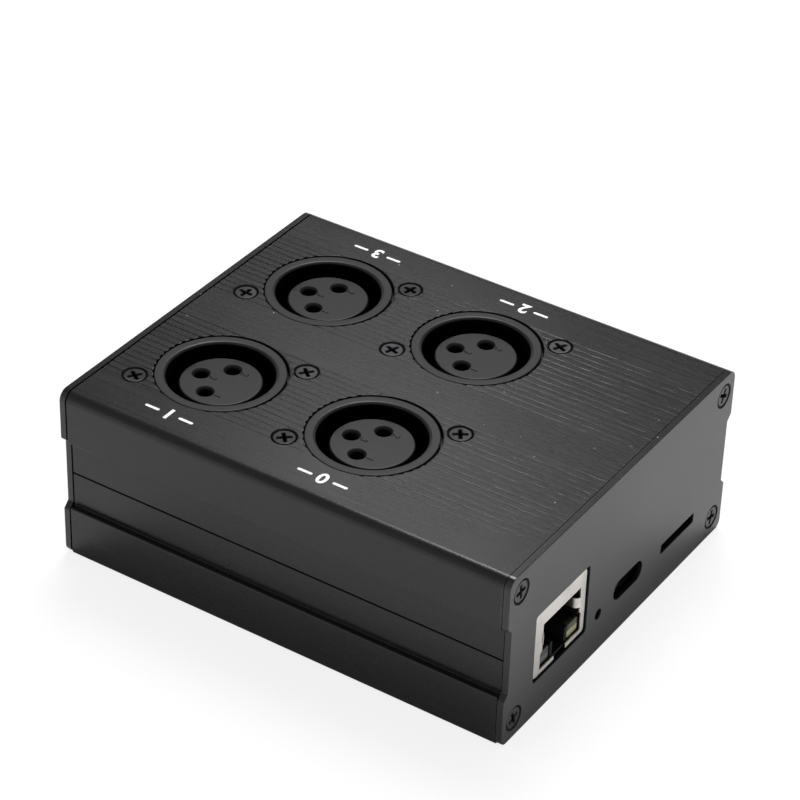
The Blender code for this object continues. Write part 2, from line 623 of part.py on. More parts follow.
def mouth_outline():
    """Plug mouth in the jack's front: a main window, wider at the lamps, with the latch notch below."""
    latch = LATCH_WIDTH / 2
    wide = MOUTH_HALF + LED_MARGIN
    lamp_top = MOUTH_FLOOR + LED_HEIGHT + 2 * SNUG_GAP
    right = [(latch, COMPONENT_BASE - CUTTER_REACH), (latch, MOUTH_FLOOR), (wide, MOUTH_FLOOR)]
    right += [(wide, lamp_top), (MOUTH_HALF, lamp_top + LED_MARGIN), (MOUTH_HALF, MOUTH_ROOF)]
    whole = right + [(-y, z) for y, z in reversed(right)]
    return [(MOUTH_CENTRE + y, z) for y, z in whole]


def finger_spans():
    """Y spans of the two spring fingers that run back beside the plug."""
    inner = MOUTH_HALF + FINGER_INSET
    outer = inner + JACK_SHEET
    return (MOUTH_CENTRE + inner, MOUTH_CENTRE + outer), (MOUTH_CENTRE - outer, MOUTH_CENTRE - inner)


def shield_mesh():
    """Folded sheet round the jack, open below, with the plug's mouth and two spring fingers."""
    middle = (JACK_CENTRE_Y, COMPONENT_BASE + JACK_HEIGHT / 2)
    front = rounded_rectangle(middle, JACK_WIDTH, JACK_HEIGHT, JACK_CORNER)
    blank = extruded("rj45_shield", front, JACK_BACK, JACK_FRONT, "X")
    s = JACK_SHEET
    hollow = box("hollow_cutter", (JACK_BACK + s, JACK_LOW + s, COMPONENT_BASE - CUTTER_REACH),
                 (JACK_FRONT - s, JACK_HIGH - s, JACK_TOP - s))
    mouth = extruded("mouth_cutter", mouth_outline(), JACK_FRONT - CUTTER_REACH, JACK_FRONT + CUTTER_REACH, "X")
    low = COMPONENT_BASE + FINGER_LOW
    steps = [cut(hollow), cut(mouth)]
    for span in finger_spans():
        finger = front_box("finger", span, (low, low + FINGER_WIDTH), JACK_FRONT - s / 2, FINGER_LENGTH)
        steps.append(add(finger))
    return combine("rj45_shield", blank, *steps)


def led_spans():
    """Y spans of the two lamp windows, in the lower corners of the mouth."""
    outer = MOUTH_HALF + LED_MARGIN - SNUG_GAP
    left = (MOUTH_CENTRE - outer, MOUTH_CENTRE - outer + LED_WIDTH)
    right = (MOUTH_CENTRE + outer - LED_WIDTH, MOUTH_CENTRE + outer)
    return {"rj45_led_left": left, "rj45_led_right": right}


def around_mouth(half):
    """Y span of the given half width about the middle of the plug's mouth."""
    return MOUTH_CENTRE - half, MOUTH_CENTRE + half


def housing_mesh():
    """Plastic body of the jack: plug cavity, latch channel, lamp and finger pockets, room for the wires."""
    base = COMPONENT_BASE + GAP
    width = (JACK_LOW + JACK_INSET, JACK_HIGH - JACK_INSET)
    length = JACK_LENGTH - 2 * JACK_INSET
    cavity_half = MOUTH_HALF - CAVITY_INSET
    wires_half = WIRE_COUNT * WIRE_PITCH / 2 + GAP
    cavity_heights = (CAVITY_FLOOR, MOUTH_ROOF)
    latch_heights = (base + HOUSING_FLOOR, CAVITY_FLOOR + CUTTER_REACH)
    wire_heights = (CAVITY_FLOOR + CUTTER_REACH, MOUTH_ROOF + WIRE_SLOT)
    lamp_heights = (MOUTH_FLOOR - SNUG_GAP, MOUTH_FLOOR + LED_HEIGHT + 2 * SNUG_GAP)
    finger_low = COMPONENT_BASE + FINGER_LOW
    finger_heights = (finger_low - GAP, finger_low + FINGER_WIDTH + GAP)
    front = CAVITY_FRONT + CUTTER_REACH
    deep = PLUG_DEPTH + CUTTER_REACH
    wire_front = CAVITY_FRONT - WIRE_FRONT_WALL
    body = front_box("rj45_housing", width, (base, JACK_TOP - JACK_INSET), CAVITY_FRONT, length)
    cuts = [
        front_box("cavity_cutter", around_mouth(cavity_half), cavity_heights, front, deep),
        front_box("latch_cutter", around_mouth(LATCH_WIDTH / 2), latch_heights, front, PLUG_DEPTH),
        front_box("wire_cutter", around_mouth(wires_half), wire_heights, wire_front, length + CUTTER_REACH),
    ]
    for low, high in led_spans().values():
        lamp = (low - SNUG_GAP, high + SNUG_GAP)
        cuts.append(front_box("lamp_cutter", lamp, lamp_heights, front, LED_LENGTH + CUTTER_REACH + GAP))
    outer = MOUTH_HALF + FINGER_INSET + JACK_SHEET + SNUG_GAP
    for pocket in ((MOUTH_CENTRE, MOUTH_CENTRE + outer), (MOUTH_CENTRE - outer, MOUTH_CENTRE)):
        cuts.append(front_box("finger_cutter", pocket, finger_heights, front, FINGER_LENGTH + CUTTER_REACH))
    return combine("rj45_housing", body, *[cut(mesh) for mesh in cuts])


def contact_block_mesh():
    """Carrier at the back of the jack with spring wires that run forward and fold back into the cavity."""
    width = around_mouth(WIRE_COUNT * WIRE_PITCH / 2)
    top = MOUTH_ROOF + WIRE_SLOT - GAP
    heights = (CAVITY_FLOOR + CUTTER_REACH + GAP, top)
    front = CAVITY_BACK - GAP
    block = front_box("rj45_contact_block", width, heights, front, front - JACK_BACK - JACK_INSET)
    t = WIRE_THICKNESS
    bend = CAVITY_FRONT - WIRE_FRONT_WALL - GAP
    root = CAVITY_BACK - CUTTER_REACH
    tip = (CAVITY_BACK + WIRE_TIP_PLACE, MOUTH_ROOF - WIRE_TIP_DROP)
    side = [(root, top - 2 * t), (bend - CUTTER_REACH, top - 2 * t), tip, (tip[0], tip[1] - t)]
    side += [(bend, top - 2 * t), (bend, top - t), (root, top - t)]
    wire = extruded("wire", side, -WIRE_WIDTH / 2, WIRE_WIDTH / 2)
    upright = Matrix.Rotation(math.pi / 2, 4, "X").to_quaternion()
    places = [MOUTH_CENTRE + (i - (WIRE_COUNT - 1) / 2) * WIRE_PITCH for i in range(WIRE_COUNT)]
    return combine("rj45_contact_block", block, *[add(wire, (0, y, 0), upright) for y in places])


def led_mesh(name, span):
    middle = (sum(span) / 2, MOUTH_FLOOR + LED_HEIGHT / 2)
    outline = rounded_rectangle(middle, span[1] - span[0], LED_HEIGHT, LED_CORNER, 2)
    return extruded(name, outline, CAVITY_FRONT - LED_LENGTH, CAVITY_FRONT, "X")


def usb_outline(inset):
    """Stadium of the receptacle's shell, drawn in by an inset."""
    width, height = USB_WIDTH - 2 * inset, USB_HEIGHT - 2 * inset
    return rounded_rectangle((USB_CENTRE_Y, USB_CENTRE_Z), width, height, height * STADIUM, 4)


def usb_shell_mesh():
    back = USB_FRONT - USB_LENGTH
    blank = extruded("usb_shell", usb_outline(0), back, USB_FRONT, "X")
    hollow = extruded("shell_cutter", usb_outline(USB_SHEET), back + USB_SHEET, USB_FRONT + CUTTER_REACH, "X")
    return combine("usb_shell", blank, cut(hollow))


def usb_tongue_mesh():
    back = USB_FRONT - USB_LENGTH + USB_SHEET + SNUG_GAP
    base = extruded("usb_tongue", usb_outline(USB_SHEET + SNUG_GAP), back, back + TONGUE_BASE, "X")
    y_span = (USB_CENTRE_Y - TONGUE_WIDTH / 2, USB_CENTRE_Y + TONGUE_WIDTH / 2)
    z_span = (USB_CENTRE_Z - TONGUE_THICKNESS / 2, USB_CENTRE_Z + TONGUE_THICKNESS / 2)
    front = USB_FRONT - TONGUE_SINK
    tongue = front_box("tongue", y_span, z_span, front, front - back - TONGUE_BASE / 2)
    return combine("usb_tongue", base, add(tongue))


def card_socket_mesh():
    low, high = COMPONENT_BASE, COMPONENT_BASE + CARD_SOCKET_HEIGHT
    edge = CARD_SOCKET_WIDTH / 2
    slot_edge = edge - CARD_SIDE
    body = front_box("card_socket", (CARD_CENTRE_Y - edge, CARD_CENTRE_Y + edge), (low, high),
                     USB_FRONT, CARD_SOCKET_LENGTH)
    slot = front_box("card_cutter", (CARD_CENTRE_Y - slot_edge, CARD_CENTRE_Y + slot_edge),
                     (low + CARD_SHEET, high - CARD_SHEET), USB_FRONT + CUTTER_REACH, CARD_SOCKET_LENGTH)
    return combine("card_socket", body, cut(slot))


def slider_outline(grow, front, foot_length):
    """Top view of the slider or its guide, a nub before a wider foot; x = 0 is the switch's front face."""
    nub = BUTTON_WIDTH / 2 + grow
    foot = BUTTON_FOOT_WIDTH / 2 + grow
    foot_front = -SWITCH_FRONT_WALL - SLIDER_GAP + grow
    foot_back = foot_front - grow - foot_length
    half = [(front, nub), (foot_front, nub), (foot_front, foot), (foot_back, foot)]
    return half + [(x, -y) for x, y in reversed(half)]


def button_mesh():
    """Slider about the centre of the switch's front face."""
    half = BUTTON_THICKNESS / 2
    return extruded("reset_button", slider_outline(0.0, BUTTON_REACH, BUTTON_FOOT), -half, half)


def switch_mesh():
    """Switch body with the guide that the slider is pushed into."""
    edge = SWITCH_WIDTH / 2
    body = front_box("reset_switch_body", (BUTTON_Y - edge, BUTTON_Y + edge),
                     (COMPONENT_BASE, COMPONENT_BASE + SWITCH_HEIGHT), SWITCH_FRONT, SWITCH_LENGTH)
    half = BUTTON_THICKNESS / 2 + SLIDER_GAP
    room = BUTTON_FOOT + BUTTON_TRAVEL + GAP
    guide = extruded("guide_cutter", slider_outline(SLIDER_GAP, CUTTER_REACH, room), -half, half)
    return combine("reset_switch_body", body, cut(guide, (SWITCH_FRONT, BUTTON_Y, BUTTON_HEIGHT)))


def chip_mesh(name, length, width, height):
    """Moulded package with its edges drawn in towards the top."""
    bm = bmesh.new()
    bmesh.ops.create_cube(bm, size=1.0)
    bmesh.ops.scale(bm, verts=bm.verts, vec=(length, width, height))
    bmesh.ops.translate(bm, verts=bm.verts, vec=(0, 0, height / 2))
    upper = [v for v in bm.verts if v.co.z > height / 2]
    bmesh.ops.scale(bm, verts=upper, vec=(1 - CHIP_DRAFT / length, 1 - CHIP_DRAFT / width, 1))
    return mesh_from(name, bm)


def build_case(mat):
    case = mat["black_anodised_case"]
    plate = mat["black_anodised_plate"]
    place("top_cover", top_cover_mesh(), case)
    place("bottom_cover", cover_mesh("bottom_cover", bottom_outline()), case)
    place("connector_end_plate", connector_plate_mesh(), plate)
    place("blank_end_plate", plate_mesh("blank_end_plate", -1), plate)
    steel = mat["blackened_screw_steel"]
    screw = screw_mesh("end_screw", END_SHANK_RADIUS, END_SCREW_LENGTH)
    for side, word in ((1, "connector"), (-1, "blank")):
        for number, (y, z) in enumerate(plate_screw_places()):
            spot = (side * PLATE_OUTSIDE, y, z)
            place(f"{word}_plate_screw_{number}", screw, steel, spot, turned_to(side).to_euler())


def build_sockets(mat):
    housing, insert, contact = socket_housing_mesh(), insert_mesh(), contact_mesh()
    screw = screw_mesh("socket_screw", SHANK_RADIUS, SOCKET_SCREW_LENGTH)
    steel = mat["blackened_screw_steel"]
    for number, (x, y) in enumerate(socket_places()):
        spot = bpy.data.objects.new(f"socket_{number}_place", None)
        bpy.context.scene.collection.objects.link(spot)
        spot.location = (x, y, CASE_HEIGHT)
        place(f"socket_{number}_housing", housing, mat["black_socket_plastic"], parent=spot)
        place(f"socket_{number}_insert", insert, mat["black_socket_plastic"], parent=spot)
        for pin, (dx, dy) in enumerate(PIN_PLACES, start=1):
            place(f"socket_{number}_contact_{pin}", contact, mat["contact_brass"], (dx, dy, 0), parent=spot)
        for letter, (dx, dy) in zip("ab", socket_screw_offsets()):
            place(f"socket_{number}_screw_{letter}", screw, steel, (dx, dy, 0), parent=spot)


def build_board(mat):
    place("main_board", board_mesh(), mat["board_laminate"])
    chip = mat["chip_epoxy"]
    beside_jack = (JACK_BACK + SOCKET_CENTRE_X + SOCKET_PITCH_X / 2 + BARREL_RADIUS) / 2
    behind_usb = USB_FRONT - USB_LENGTH - PROCESSOR_SETBACK
    behind_card = USB_FRONT - CARD_SOCKET_LENGTH - MEMORY_SETBACK
    place("processor", chip_mesh("processor", *PROCESSOR_SIZE), chip, (behind_usb, 0, COMPONENT_BASE))
    place("memory_chip", chip_mesh("memory_chip", *MEMORY_SIZE), chip,
          (behind_card, CARD_CENTRE_Y, COMPONENT_BASE))
    place("ethernet_chip", chip_mesh("ethernet_chip", *ETHERNET_SIZE), chip,
          (beside_jack, JACK_CENTRE_Y + ETHERNET_SHIFT, COMPONENT_BASE))
    place("power_inductor", chip_mesh("power_inductor", *INDUCTOR_SIZE), chip,
          (beside_jack, JACK_CENTRE_Y - INDUCTOR_SHIFT, COMPONENT_BASE))
    driver = chip_mesh("bus_driver", *DRIVER_SIZE)
    for number in range(4):
        x = SOCKET_CENTRE_X + (number - 1.5) * SOCKET_PITCH_X / 2
        place(f"bus_driver_{number}", driver, chip, (x, SOCKET_CENTRE_Y, COMPONENT_BASE))


def build_ports(mat):
    place("rj45_shield", shield_mesh(), mat["tinned_steel"])
    place("rj45_housing", housing_mesh(), mat["black_inner_plastic"])
    place("rj45_contact_block", contact_block_mesh(), mat["contact_brass"])
    lenses = {"rj45_led_left": "clear_green_lens", "rj45_led_right": "clear_yellow_lens"}
    for name, span in led_spans().items():
        place(name, led_mesh(name, span), mat[lenses[name]])
    place("usb_shell", usb_shell_mesh(), mat["tinned_steel"])
    place("usb_tongue", usb_tongue_mesh(), mat["black_inner_plastic"])
    place("card_socket", card_socket_mesh(), mat["tinned_steel"])
    place("reset_switch_body", switch_mesh(), mat["black_inner_plastic"])
    place("reset_button", button_mesh(), mat["white_button_plastic"], (SWITCH_FRONT, BUTTON_Y, BUTTON_HEIGHT))


def main():
    clear_scene()
    materials = make_materials()
    build_case(materials)
    build_sockets(materials)
    build_board(materials)
    build_ports(materials)


main()
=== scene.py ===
"""Finished surfaces of a network to stage-lighting interface box, built around its frame."""
import math

import bmesh
import bpy
from bpy.props import FloatProperty, FloatVectorProperty, IntProperty
from mathutils import Matrix, Quaternion, Vector, noise


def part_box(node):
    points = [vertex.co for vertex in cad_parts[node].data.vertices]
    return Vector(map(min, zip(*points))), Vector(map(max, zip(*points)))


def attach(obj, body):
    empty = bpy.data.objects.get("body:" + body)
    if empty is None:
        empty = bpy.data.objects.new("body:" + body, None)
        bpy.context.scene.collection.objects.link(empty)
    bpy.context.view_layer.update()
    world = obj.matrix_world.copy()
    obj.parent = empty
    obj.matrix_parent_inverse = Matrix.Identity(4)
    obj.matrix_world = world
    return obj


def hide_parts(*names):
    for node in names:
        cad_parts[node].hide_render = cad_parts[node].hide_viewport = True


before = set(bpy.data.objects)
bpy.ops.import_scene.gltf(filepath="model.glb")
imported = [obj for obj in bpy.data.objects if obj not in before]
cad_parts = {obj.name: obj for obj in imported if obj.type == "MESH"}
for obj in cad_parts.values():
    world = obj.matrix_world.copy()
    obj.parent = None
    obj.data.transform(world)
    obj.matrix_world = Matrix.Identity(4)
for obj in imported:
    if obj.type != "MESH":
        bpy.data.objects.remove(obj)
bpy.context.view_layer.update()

bl_info = {
    "name": "Stage Lighting Interface Box",
    "version": (1, 0, 0),
    "blender": (4, 5, 0),
    "location": "3D View > Sidebar > Interface Box",
    "description": "Builds the finished surfaces of a four-socket interface box around its frame",
    "category": "Object",
}

MM = 0.001

# Clearance between pieces, and how far a cutter runs past what it cuts
GAP = 0.3 * MM
REACH = 1.0 * MM

# Place of a mesh that is gathered just as it is
HERE = Matrix.Identity(4)

# Facets of round shapes, and the angle from which an edge stays sharp
ROUND_STEPS = 128
HOLE_STEPS = 48
SCREW_STEPS = 40
FILLET_STEPS = 8
SHARP_ANGLE = math.radians(32)

# Case: its outer sizes from the frame, then its edges, side recesses and lap joint
COVER_LOW, COVER_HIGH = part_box("top_cover")
CASE_HEIGHT = COVER_HIGH.z
HALF_WIDTH = COVER_HIGH.y
HALF_BODY = COVER_HIGH.x
SEAM_HEIGHT = CASE_HEIGHT / 2
PLATE_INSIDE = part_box("connector_end_plate")[0].x
PLATE_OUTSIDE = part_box("connector_end_plate")[1].x
ROOF_EDGE_RADIUS = 2.0 * MM
BASE_EDGE_RADIUS = 1.0 * MM
PLATE_BASE_RADIUS = 1.6 * MM
RECESS_DEPTH = 1.2 * MM
RECESS_HALF_HEIGHT = 7.1 * MM
LAP_HEIGHT = 1.2 * MM
LAP_SKIN = 0.6 * MM
LEDGE_LOW = SEAM_HEIGHT - RECESS_HALF_HEIGHT
LEDGE_HIGH = SEAM_HEIGHT + RECESS_HALF_HEIGHT
RECESS_Y = HALF_WIDTH - RECESS_DEPTH

# Roof grooves, in a band on each side of the smooth middle strip
GROOVE_FIRST = 5.25 * MM
GROOVE_PITCH = 1.5 * MM
GROOVE_COUNT = 16
GROOVE_POINTS = 6

# A groove's depth in the roof's middle, its loss towards the connectors and its random change, as shares
GROOVE_MEAN, GROOVE_LOSS, GROOVE_CHANGE = 0.75, 0.55, 0.3

# The covers' finished ends, a hair short of the end plates, and the roof's sections along its length
COVER_START = 0.35 * MM - PLATE_INSIDE
COVER_END = PLATE_INSIDE - 0.12 * MM
COVER_SECTIONS = 96

# Shift of the roof's socket holes from their sockets, and length, width and corner of the pits on their rims
HOLE_SHIFT = Vector((0.09 * MM, 0.18 * MM))
PIT_SIZE = (0.9 * MM, 0.28 * MM, 0.13 * MM)
PIT_DEPTH = 0.35 * MM

# Shares of a hole's radius past which it has no pits: across the grooves, and the way the hole is shifted
PIT_LIMIT_ACROSS = 0.93
PIT_LIMIT_SHIFTED = 0.35

# Depth at which painted shade starts on a cut edge, and the stretch over which it grows to full
CUT_SKIN = 0.05 * MM
CUT_STRETCH = 0.1 * MM

# How much painted shade a screw's seat gets, from 0 to 1
SEAT_SHADE = 0.7

# Screw channels and board slots inside the extrusion
CHANNEL_Y = HALF_WIDTH - 3.7 * MM
CHANNEL_HEIGHT = 4.05 * MM
CHANNEL_RADIUS = 1.3 * MM
CHANNEL_SLIT = 1.2 * MM
CHANNEL_TOP = CHANNEL_HEIGHT + CHANNEL_RADIUS + 0.55 * MM
CHANNEL_INNER_Y = CHANNEL_Y - CHANNEL_RADIUS - 0.8 * MM
BOARD_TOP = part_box("main_board")[1].z
RAIL_REACH = 1.9 * MM
RAIL_HEIGHT = 1.3 * MM

# Countersunk screws
HEAD_RADIUS = 2.2 * MM
HEAD_SINK = 0.1 * MM
SEAT_GAP = 0.2 * MM
SEAT_EDGE = 0.06 * MM
SHANK_RADIUS = 1.3 * MM
END_SHANK_RADIUS = CHANNEL_RADIUS - GAP
SCREW_HOLE_RADIUS = SHANK_RADIUS + GAP
SCREW_TIP = 0.4 * MM

# First angle in a row of screws, and the step from each screw to the next
ROOF_SPINS = (0.6, 1.7)
END_SPINS = (0.35, 1.3)

# Round sockets, with heights measured down from the roof
COLLAR_RADIUS = 11.7 * MM
BARREL_RADIUS = 11.5 * MM
BORE_RADIUS = 9.75 * MM
BORE_RELIEF = 0.02 * MM
INSERT_EDGE = 0.28 * MM
BASE_EDGE = 0.1 * MM
FLANGE_DROP = 1.8 * MM
SOCKET_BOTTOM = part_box("socket_0_housing")[0].z - CASE_HEIGHT
FLANGE_THICKNESS = 2.5 * MM
FLANGE_CORNER = 3.0 * MM
BOSS_RADIUS = 2.9 * MM
BOSS_DEPTH = 9.5 * MM
SHOULDER_DEPTH = 16.5 * MM
SHOULDER_WIDTH = 0.7 * MM
INSERT_RADIUS = 7.45 * MM
INSERT_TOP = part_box("socket_0_insert")[1].z - CASE_HEIGHT
INSERT_BASE = 2.5 * MM
PIN_HOLE_RADIUS = 1.25 * MM
PIN_HOLE_NECK = 1.2 * MM
CONTACT_ROOM = 1.8 * MM
CONTACT_SINK = 1.3 * MM
NUMERAL_SHIFT = 2.6 * MM

# Network jack
JACK_LOW, JACK_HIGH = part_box("rj45_shield")
JACK_SHEET = 0.3 * MM
JACK_CORNER = 1.0 * MM
MOUTH_CENTRE = (JACK_LOW.y + JACK_HIGH.y) / 2 + 0.5 * MM
MOUTH_HALF = 6.1 * MM
MOUTH_FLOOR = JACK_LOW.z + 1.0 * MM
MOUTH_ROOF = JACK_LOW.z + 10.5 * MM
LATCH_HALF = 1.95 * MM
LAMP_MARGIN = 0.6 * MM
LAMP_HEIGHT = 3.0 * MM
LAMP_DOME = 0.35 * MM
LAMP_CORNER = 0.5 * MM
LAMP_DEPTH = 0.9 * MM
FINGER_LOW = JACK_LOW.z + 6.3 * MM
FINGER_WIDTH = 2.1 * MM
FINGER_BEND = 1.1 * MM

# Spring wires: how far behind the jack's front they turn down, how deep their carrier reaches from the
# jack's back, the radius and slope of their bend, and how far their ends stand before the carrier and
# under the mouth's roof
WIRE_FRONT = 1.8 * MM
CARRIER_DEPTH = 7.4 * MM
WIRE_BEND = 0.35 * MM
WIRE_SLOPE = 0.5 * MM
WIRE_END_BEFORE = 2.5 * MM
WIRE_END_UNDER = 1.9 * MM
MOULDED_CORNER = 0.2 * MM

# Openings of the connector plate: rounding of their edges, corner of the jack's window, width, height and
# corner of the windows before the small socket and the card socket, and radius of the pinhole
PORT_EDGE = 0.1 * MM
JACK_WINDOW_CORNER = 0.6 * MM
SMALL_WINDOW = (10.0 * MM, 4.1 * MM, 2.04 * MM)
CARD_WINDOW = (11.9 * MM, 2.0 * MM, 0.25 * MM)
PINHOLE_RADIUS = 1.05 * MM

# Small socket: its sheet, its tongue, and the pads on it as length, width, corner and height
SMALL_SHEET = 0.3 * MM
TONGUE_BASE = 1.6 * MM
TONGUE_WIDTH = 6.2 * MM
TONGUE_HALF = 0.35 * MM
PAD_SIZE = (3.0 * MM, 0.28 * MM, 0.05 * MM)
PAD_HEIGHT = 0.03 * MM
PAD_INSET = 2.2 * MM

# Floor, a hair below the base so that the two never coincide, and the distance within which rays miss it
FLOOR_SIZE = 6.0
FLOOR_HEIGHT = -0.05 * MM
FLOOR_CLEAR = 0.5 * MM

# Points that the two lamps shine at, and the nearest distance that the camera sees
KEY_AIM = (0, 0, 0.02)
PANEL_AIM = (0, 0, 0.035)
CAMERA_CLIP = 0.01

# Colours that finishes share: painted shade inside a recess, worn metal and dust
RECESS_SHADE_COLOUR = (0.0015, 0.0015, 0.0016, 1.0)
WORN_COLOUR = (0.30, 0.30, 0.31, 1.0)
DUST_COLOUR = (0.42, 0.41, 0.39, 1.0)

# Printed digits: distance from the middle line, shift along the roof and space before each dash
MARK_Y = 32.2 * MM
MARK_SHIFT = 0.2 * MM
MARK_SPACE = 0.6 * MM


def middle_of(node):
    """Middle of a frame node's box."""
    low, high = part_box(node)
    return (low + high) / 2


def size_property(name, description, size):
    """Length, with its default in millimetres."""
    return FloatProperty(name=name, description=description, default=size * MM, unit="LENGTH")


def colour_property(name, description, colour):
    """Colour of a finish."""
    return FloatVectorProperty(name=name, description=description, default=colour, size=3,
                               subtype="COLOR", min=0.0, max=1.0)


def angle_property(name, description, degrees):
    """Angle, with its default in degrees."""
    return FloatProperty(name=name, description=description, default=math.radians(degrees),
                         subtype="ANGLE")


def place_property(name, description, place):
    """Place in the scene."""
    return FloatVectorProperty(name=name, description=description, default=place, size=3,
                               subtype="TRANSLATION")


def power_property(name, description, watts):
    """Power of a lamp."""
    return FloatProperty(name=name, description=description, default=watts, subtype="POWER")


class CaseSettings(bpy.types.PropertyGroup):
    wall: size_property("Wall", "Thickness of the extruded walls", 1.5)
    groove_depth: size_property("Groove Depth", "Depth of the roof's fine grooves", 0.055)
    groove_half_width: size_property("Groove Half Width", "Half the width of a roof groove", 0.16)
    groove_sway: size_property("Groove Sway", "How far a groove strays from its straight line", 0.13)
    groove_wave: size_property("Groove Wave", "Length of a groove's sway along the roof", 2.4)
    torn_end: size_property("Torn End", "How far a groove's end falls short of the blank plate", 0.4)
    ledge_rounding: size_property("Ledge Rounding", "Radius along the side recess's ledges", 0.3)
    hole_gap: size_property("Hole Gap", "Gap between a socket's collar and its hole", 0.32)
    hole_rounding: size_property("Hole Rounding", "Radius round the panel holes", 0.06)
    plate_rounding: size_property("Plate Rounding", "Radius round the end plates' faces", 0.1)
    tint: colour_property("Anodised Black", "Colour of the anodised case", (0.0105, 0.0107, 0.0114))
    plate_tint: colour_property("Plate Black", "Colour of the anodised end plates", (0.0235, 0.024, 0.0255))


class SocketSettings(bpy.types.PropertyGroup):
    collar_lip: size_property("Collar Lip", "Radius of the collar's inner lip", 0.6)
    collar_edge: size_property("Collar Edge", "Radius of the collar's outer edge", 0.18)
    hole_chamfer: size_property("Pin Hole Chamfer", "Lead-in round each pin hole", 0.45)
    numeral_height: size_property("Numeral Height", "Height of the engraved pin numerals", 1.5)
    numeral_depth: size_property("Numeral Depth", "Depth of the engraved pin numerals", 0.14)
    tint: colour_property("Socket Plastic", "Colour of the moulded sockets", (0.0095, 0.0098, 0.0102))


class ScrewSettings(bpy.types.PropertyGroup):
    recess_width: size_property("Recess Width", "Width of the cross recess's arms", 0.62)
    recess_reach: size_property("Recess Reach", "Reach of the cross recess's arms", 1.38)
    recess_depth: size_property("Recess Depth", "Depth of the cross recess", 0.85)
    thread_pitch: size_property("Thread Pitch", "Rise of the thread in one turn", 0.5)
    thread_depth: size_property("Thread Depth", "Height of the thread above its core", 0.2)
    tint: colour_property("Blackened Steel", "Colour of the screws", (0.052, 0.052, 0.055))


class PortSettings(bpy.types.PropertyGroup):
    wire_count: IntProperty(name="Wires", description="Spring wires in the network jack",
                            default=8, min=1, max=10)
    wire_pitch: size_property("Wire Pitch", "Distance between neighbouring wires", 1.02)
    wire_radius: size_property("Wire Radius", "Radius of a spring wire", 0.18)
    pad_count: IntProperty(name="Pads", description="Pads on each face of the small socket's tongue",
                           default=12, min=1, max=12)
    pad_pitch: size_property("Pad Pitch", "Distance between neighbouring pads", 0.5)
    sheet_tint: colour_property("Tinned Sheet", "Colour of the network jack's shield", (0.70, 0.67, 0.635))


class MarkSettings(bpy.types.PropertyGroup):
    height: size_property("Digit Height", "Height of the printed digits", 3.0)
    weight: FloatProperty(name="Digit Weight", description="How much bolder the digits are", default=0.03)
    ink: size_property("Ink Thickness", "Thickness of the printed ink", 0.02)
    dash: size_property("Dash Length", "Length of the dash on each side of a digit", 3.0)
    stroke: size_property("Dash Width", "Width of a dash", 0.58)
    tint: colour_property("Ink", "Colour of the printed digits", (0.86, 0.86, 0.85))


class StageSettings(bpy.types.PropertyGroup):
    camera_place: place_property("Camera", "Where the camera stands", (0.2342, -0.3681, 0.3332))
    azimuth: angle_property("Azimuth", "Angle of the camera round the box", 32.48)
    elevation: angle_property("Elevation", "Angle of the camera above the floor", 34.74)
    roll: angle_property("Roll", "Tilt of the camera about its line of sight", 1.89)
    lens: FloatProperty(name="Lens", description="Focal length in millimetres", default=135.2)
    rear_fill: FloatProperty(name="Rear Fill", description="Soft light from behind the box", default=0.85)
    front_fill: FloatProperty(name="Front Fill", description="Soft light from the camera's side",
                              default=0.08)
    key_place: place_property("Key Place", "Where the large rear softbox hangs", (-0.260, 0.600, 1.350))
    key_power: power_property("Key Light", "Power of the large rear softbox", 16.0)
    key_size: size_property("Key Size", "Side of the large rear softbox", 600.0)
    panel_place: place_property("Panel Place", "Where the small panel hangs", (-0.633, 0.992, 0.940))
    panel_power: power_property("Panel Light", "Power of the small panel that the roof mirrors", 0.4)
    panel_size: size_property("Panel Size", "Side of the small panel", 180.0)
    floor_tint: colour_property("Floor", "Colour of the pale floor", (0.9, 0.9, 0.9))


# Outlines


def arc(centre, radius, start, end, steps):
    """Points on an arc from start to end, in degrees, both ends included."""
    turns = [math.radians(start + (end - start) * i / steps) for i in range(steps + 1)]
    return [(centre[0] + radius * math.cos(t), centre[1] + radius * math.sin(t)) for t in turns]


def circle(centre, radius, steps):
    """Closed ring of points."""
    return arc(centre, radius, 0, 360, steps)[:-1]


def filleted(corners):
    """Closed outline from (a, b, radius) corners, each turned into an arc that touches both its sides."""
    points = []
    for i, (a, b, radius) in enumerate(corners):
        here = Vector((a, b))
        if radius == 0:
            points.append((a, b))
            continue
        back = (Vector(corners[i - 1][:2]) - here).normalized()
        ahead = (Vector(corners[(i + 1) % len(corners)][:2]) - here).normalized()
        half = back.angle(ahead) / 2
        centre = here + (back + ahead).normalized() * radius / math.sin(half)
        spoke = here + back * radius / math.tan(half) - centre
        turn = spoke.angle_signed(here + ahead * radius / math.tan(half) - centre)
        for k in range(FILLET_STEPS + 1):
            points.append(tuple(centre + Matrix.Rotation(-turn * k / FILLET_STEPS, 2) @ spoke))
    return points


def rounded_rectangle(centre, width, height, radius):
    """Closed outline of a rectangle with round corners."""
    a, b = width / 2, height / 2
    corners = ((a, b), (-a, b), (-a, -b), (a, -b))
    return filleted([(centre[0] + x, centre[1] + y, radius) for x, y in corners])


def growing(centre, width, height, corner):
    """Function that gives a rounded rectangle grown by a size."""
    return lambda grow: rounded_rectangle(centre, width + 2 * grow, height + 2 * grow, corner + grow)


def mirrored(half, other=None):
    """Whole outline from its +Y half and the one mirrored to -Y; both start and end on the middle."""
    return half + [(-y, z, radius) for y, z, radius in reversed((other or half)[1:-1])]


# Meshes


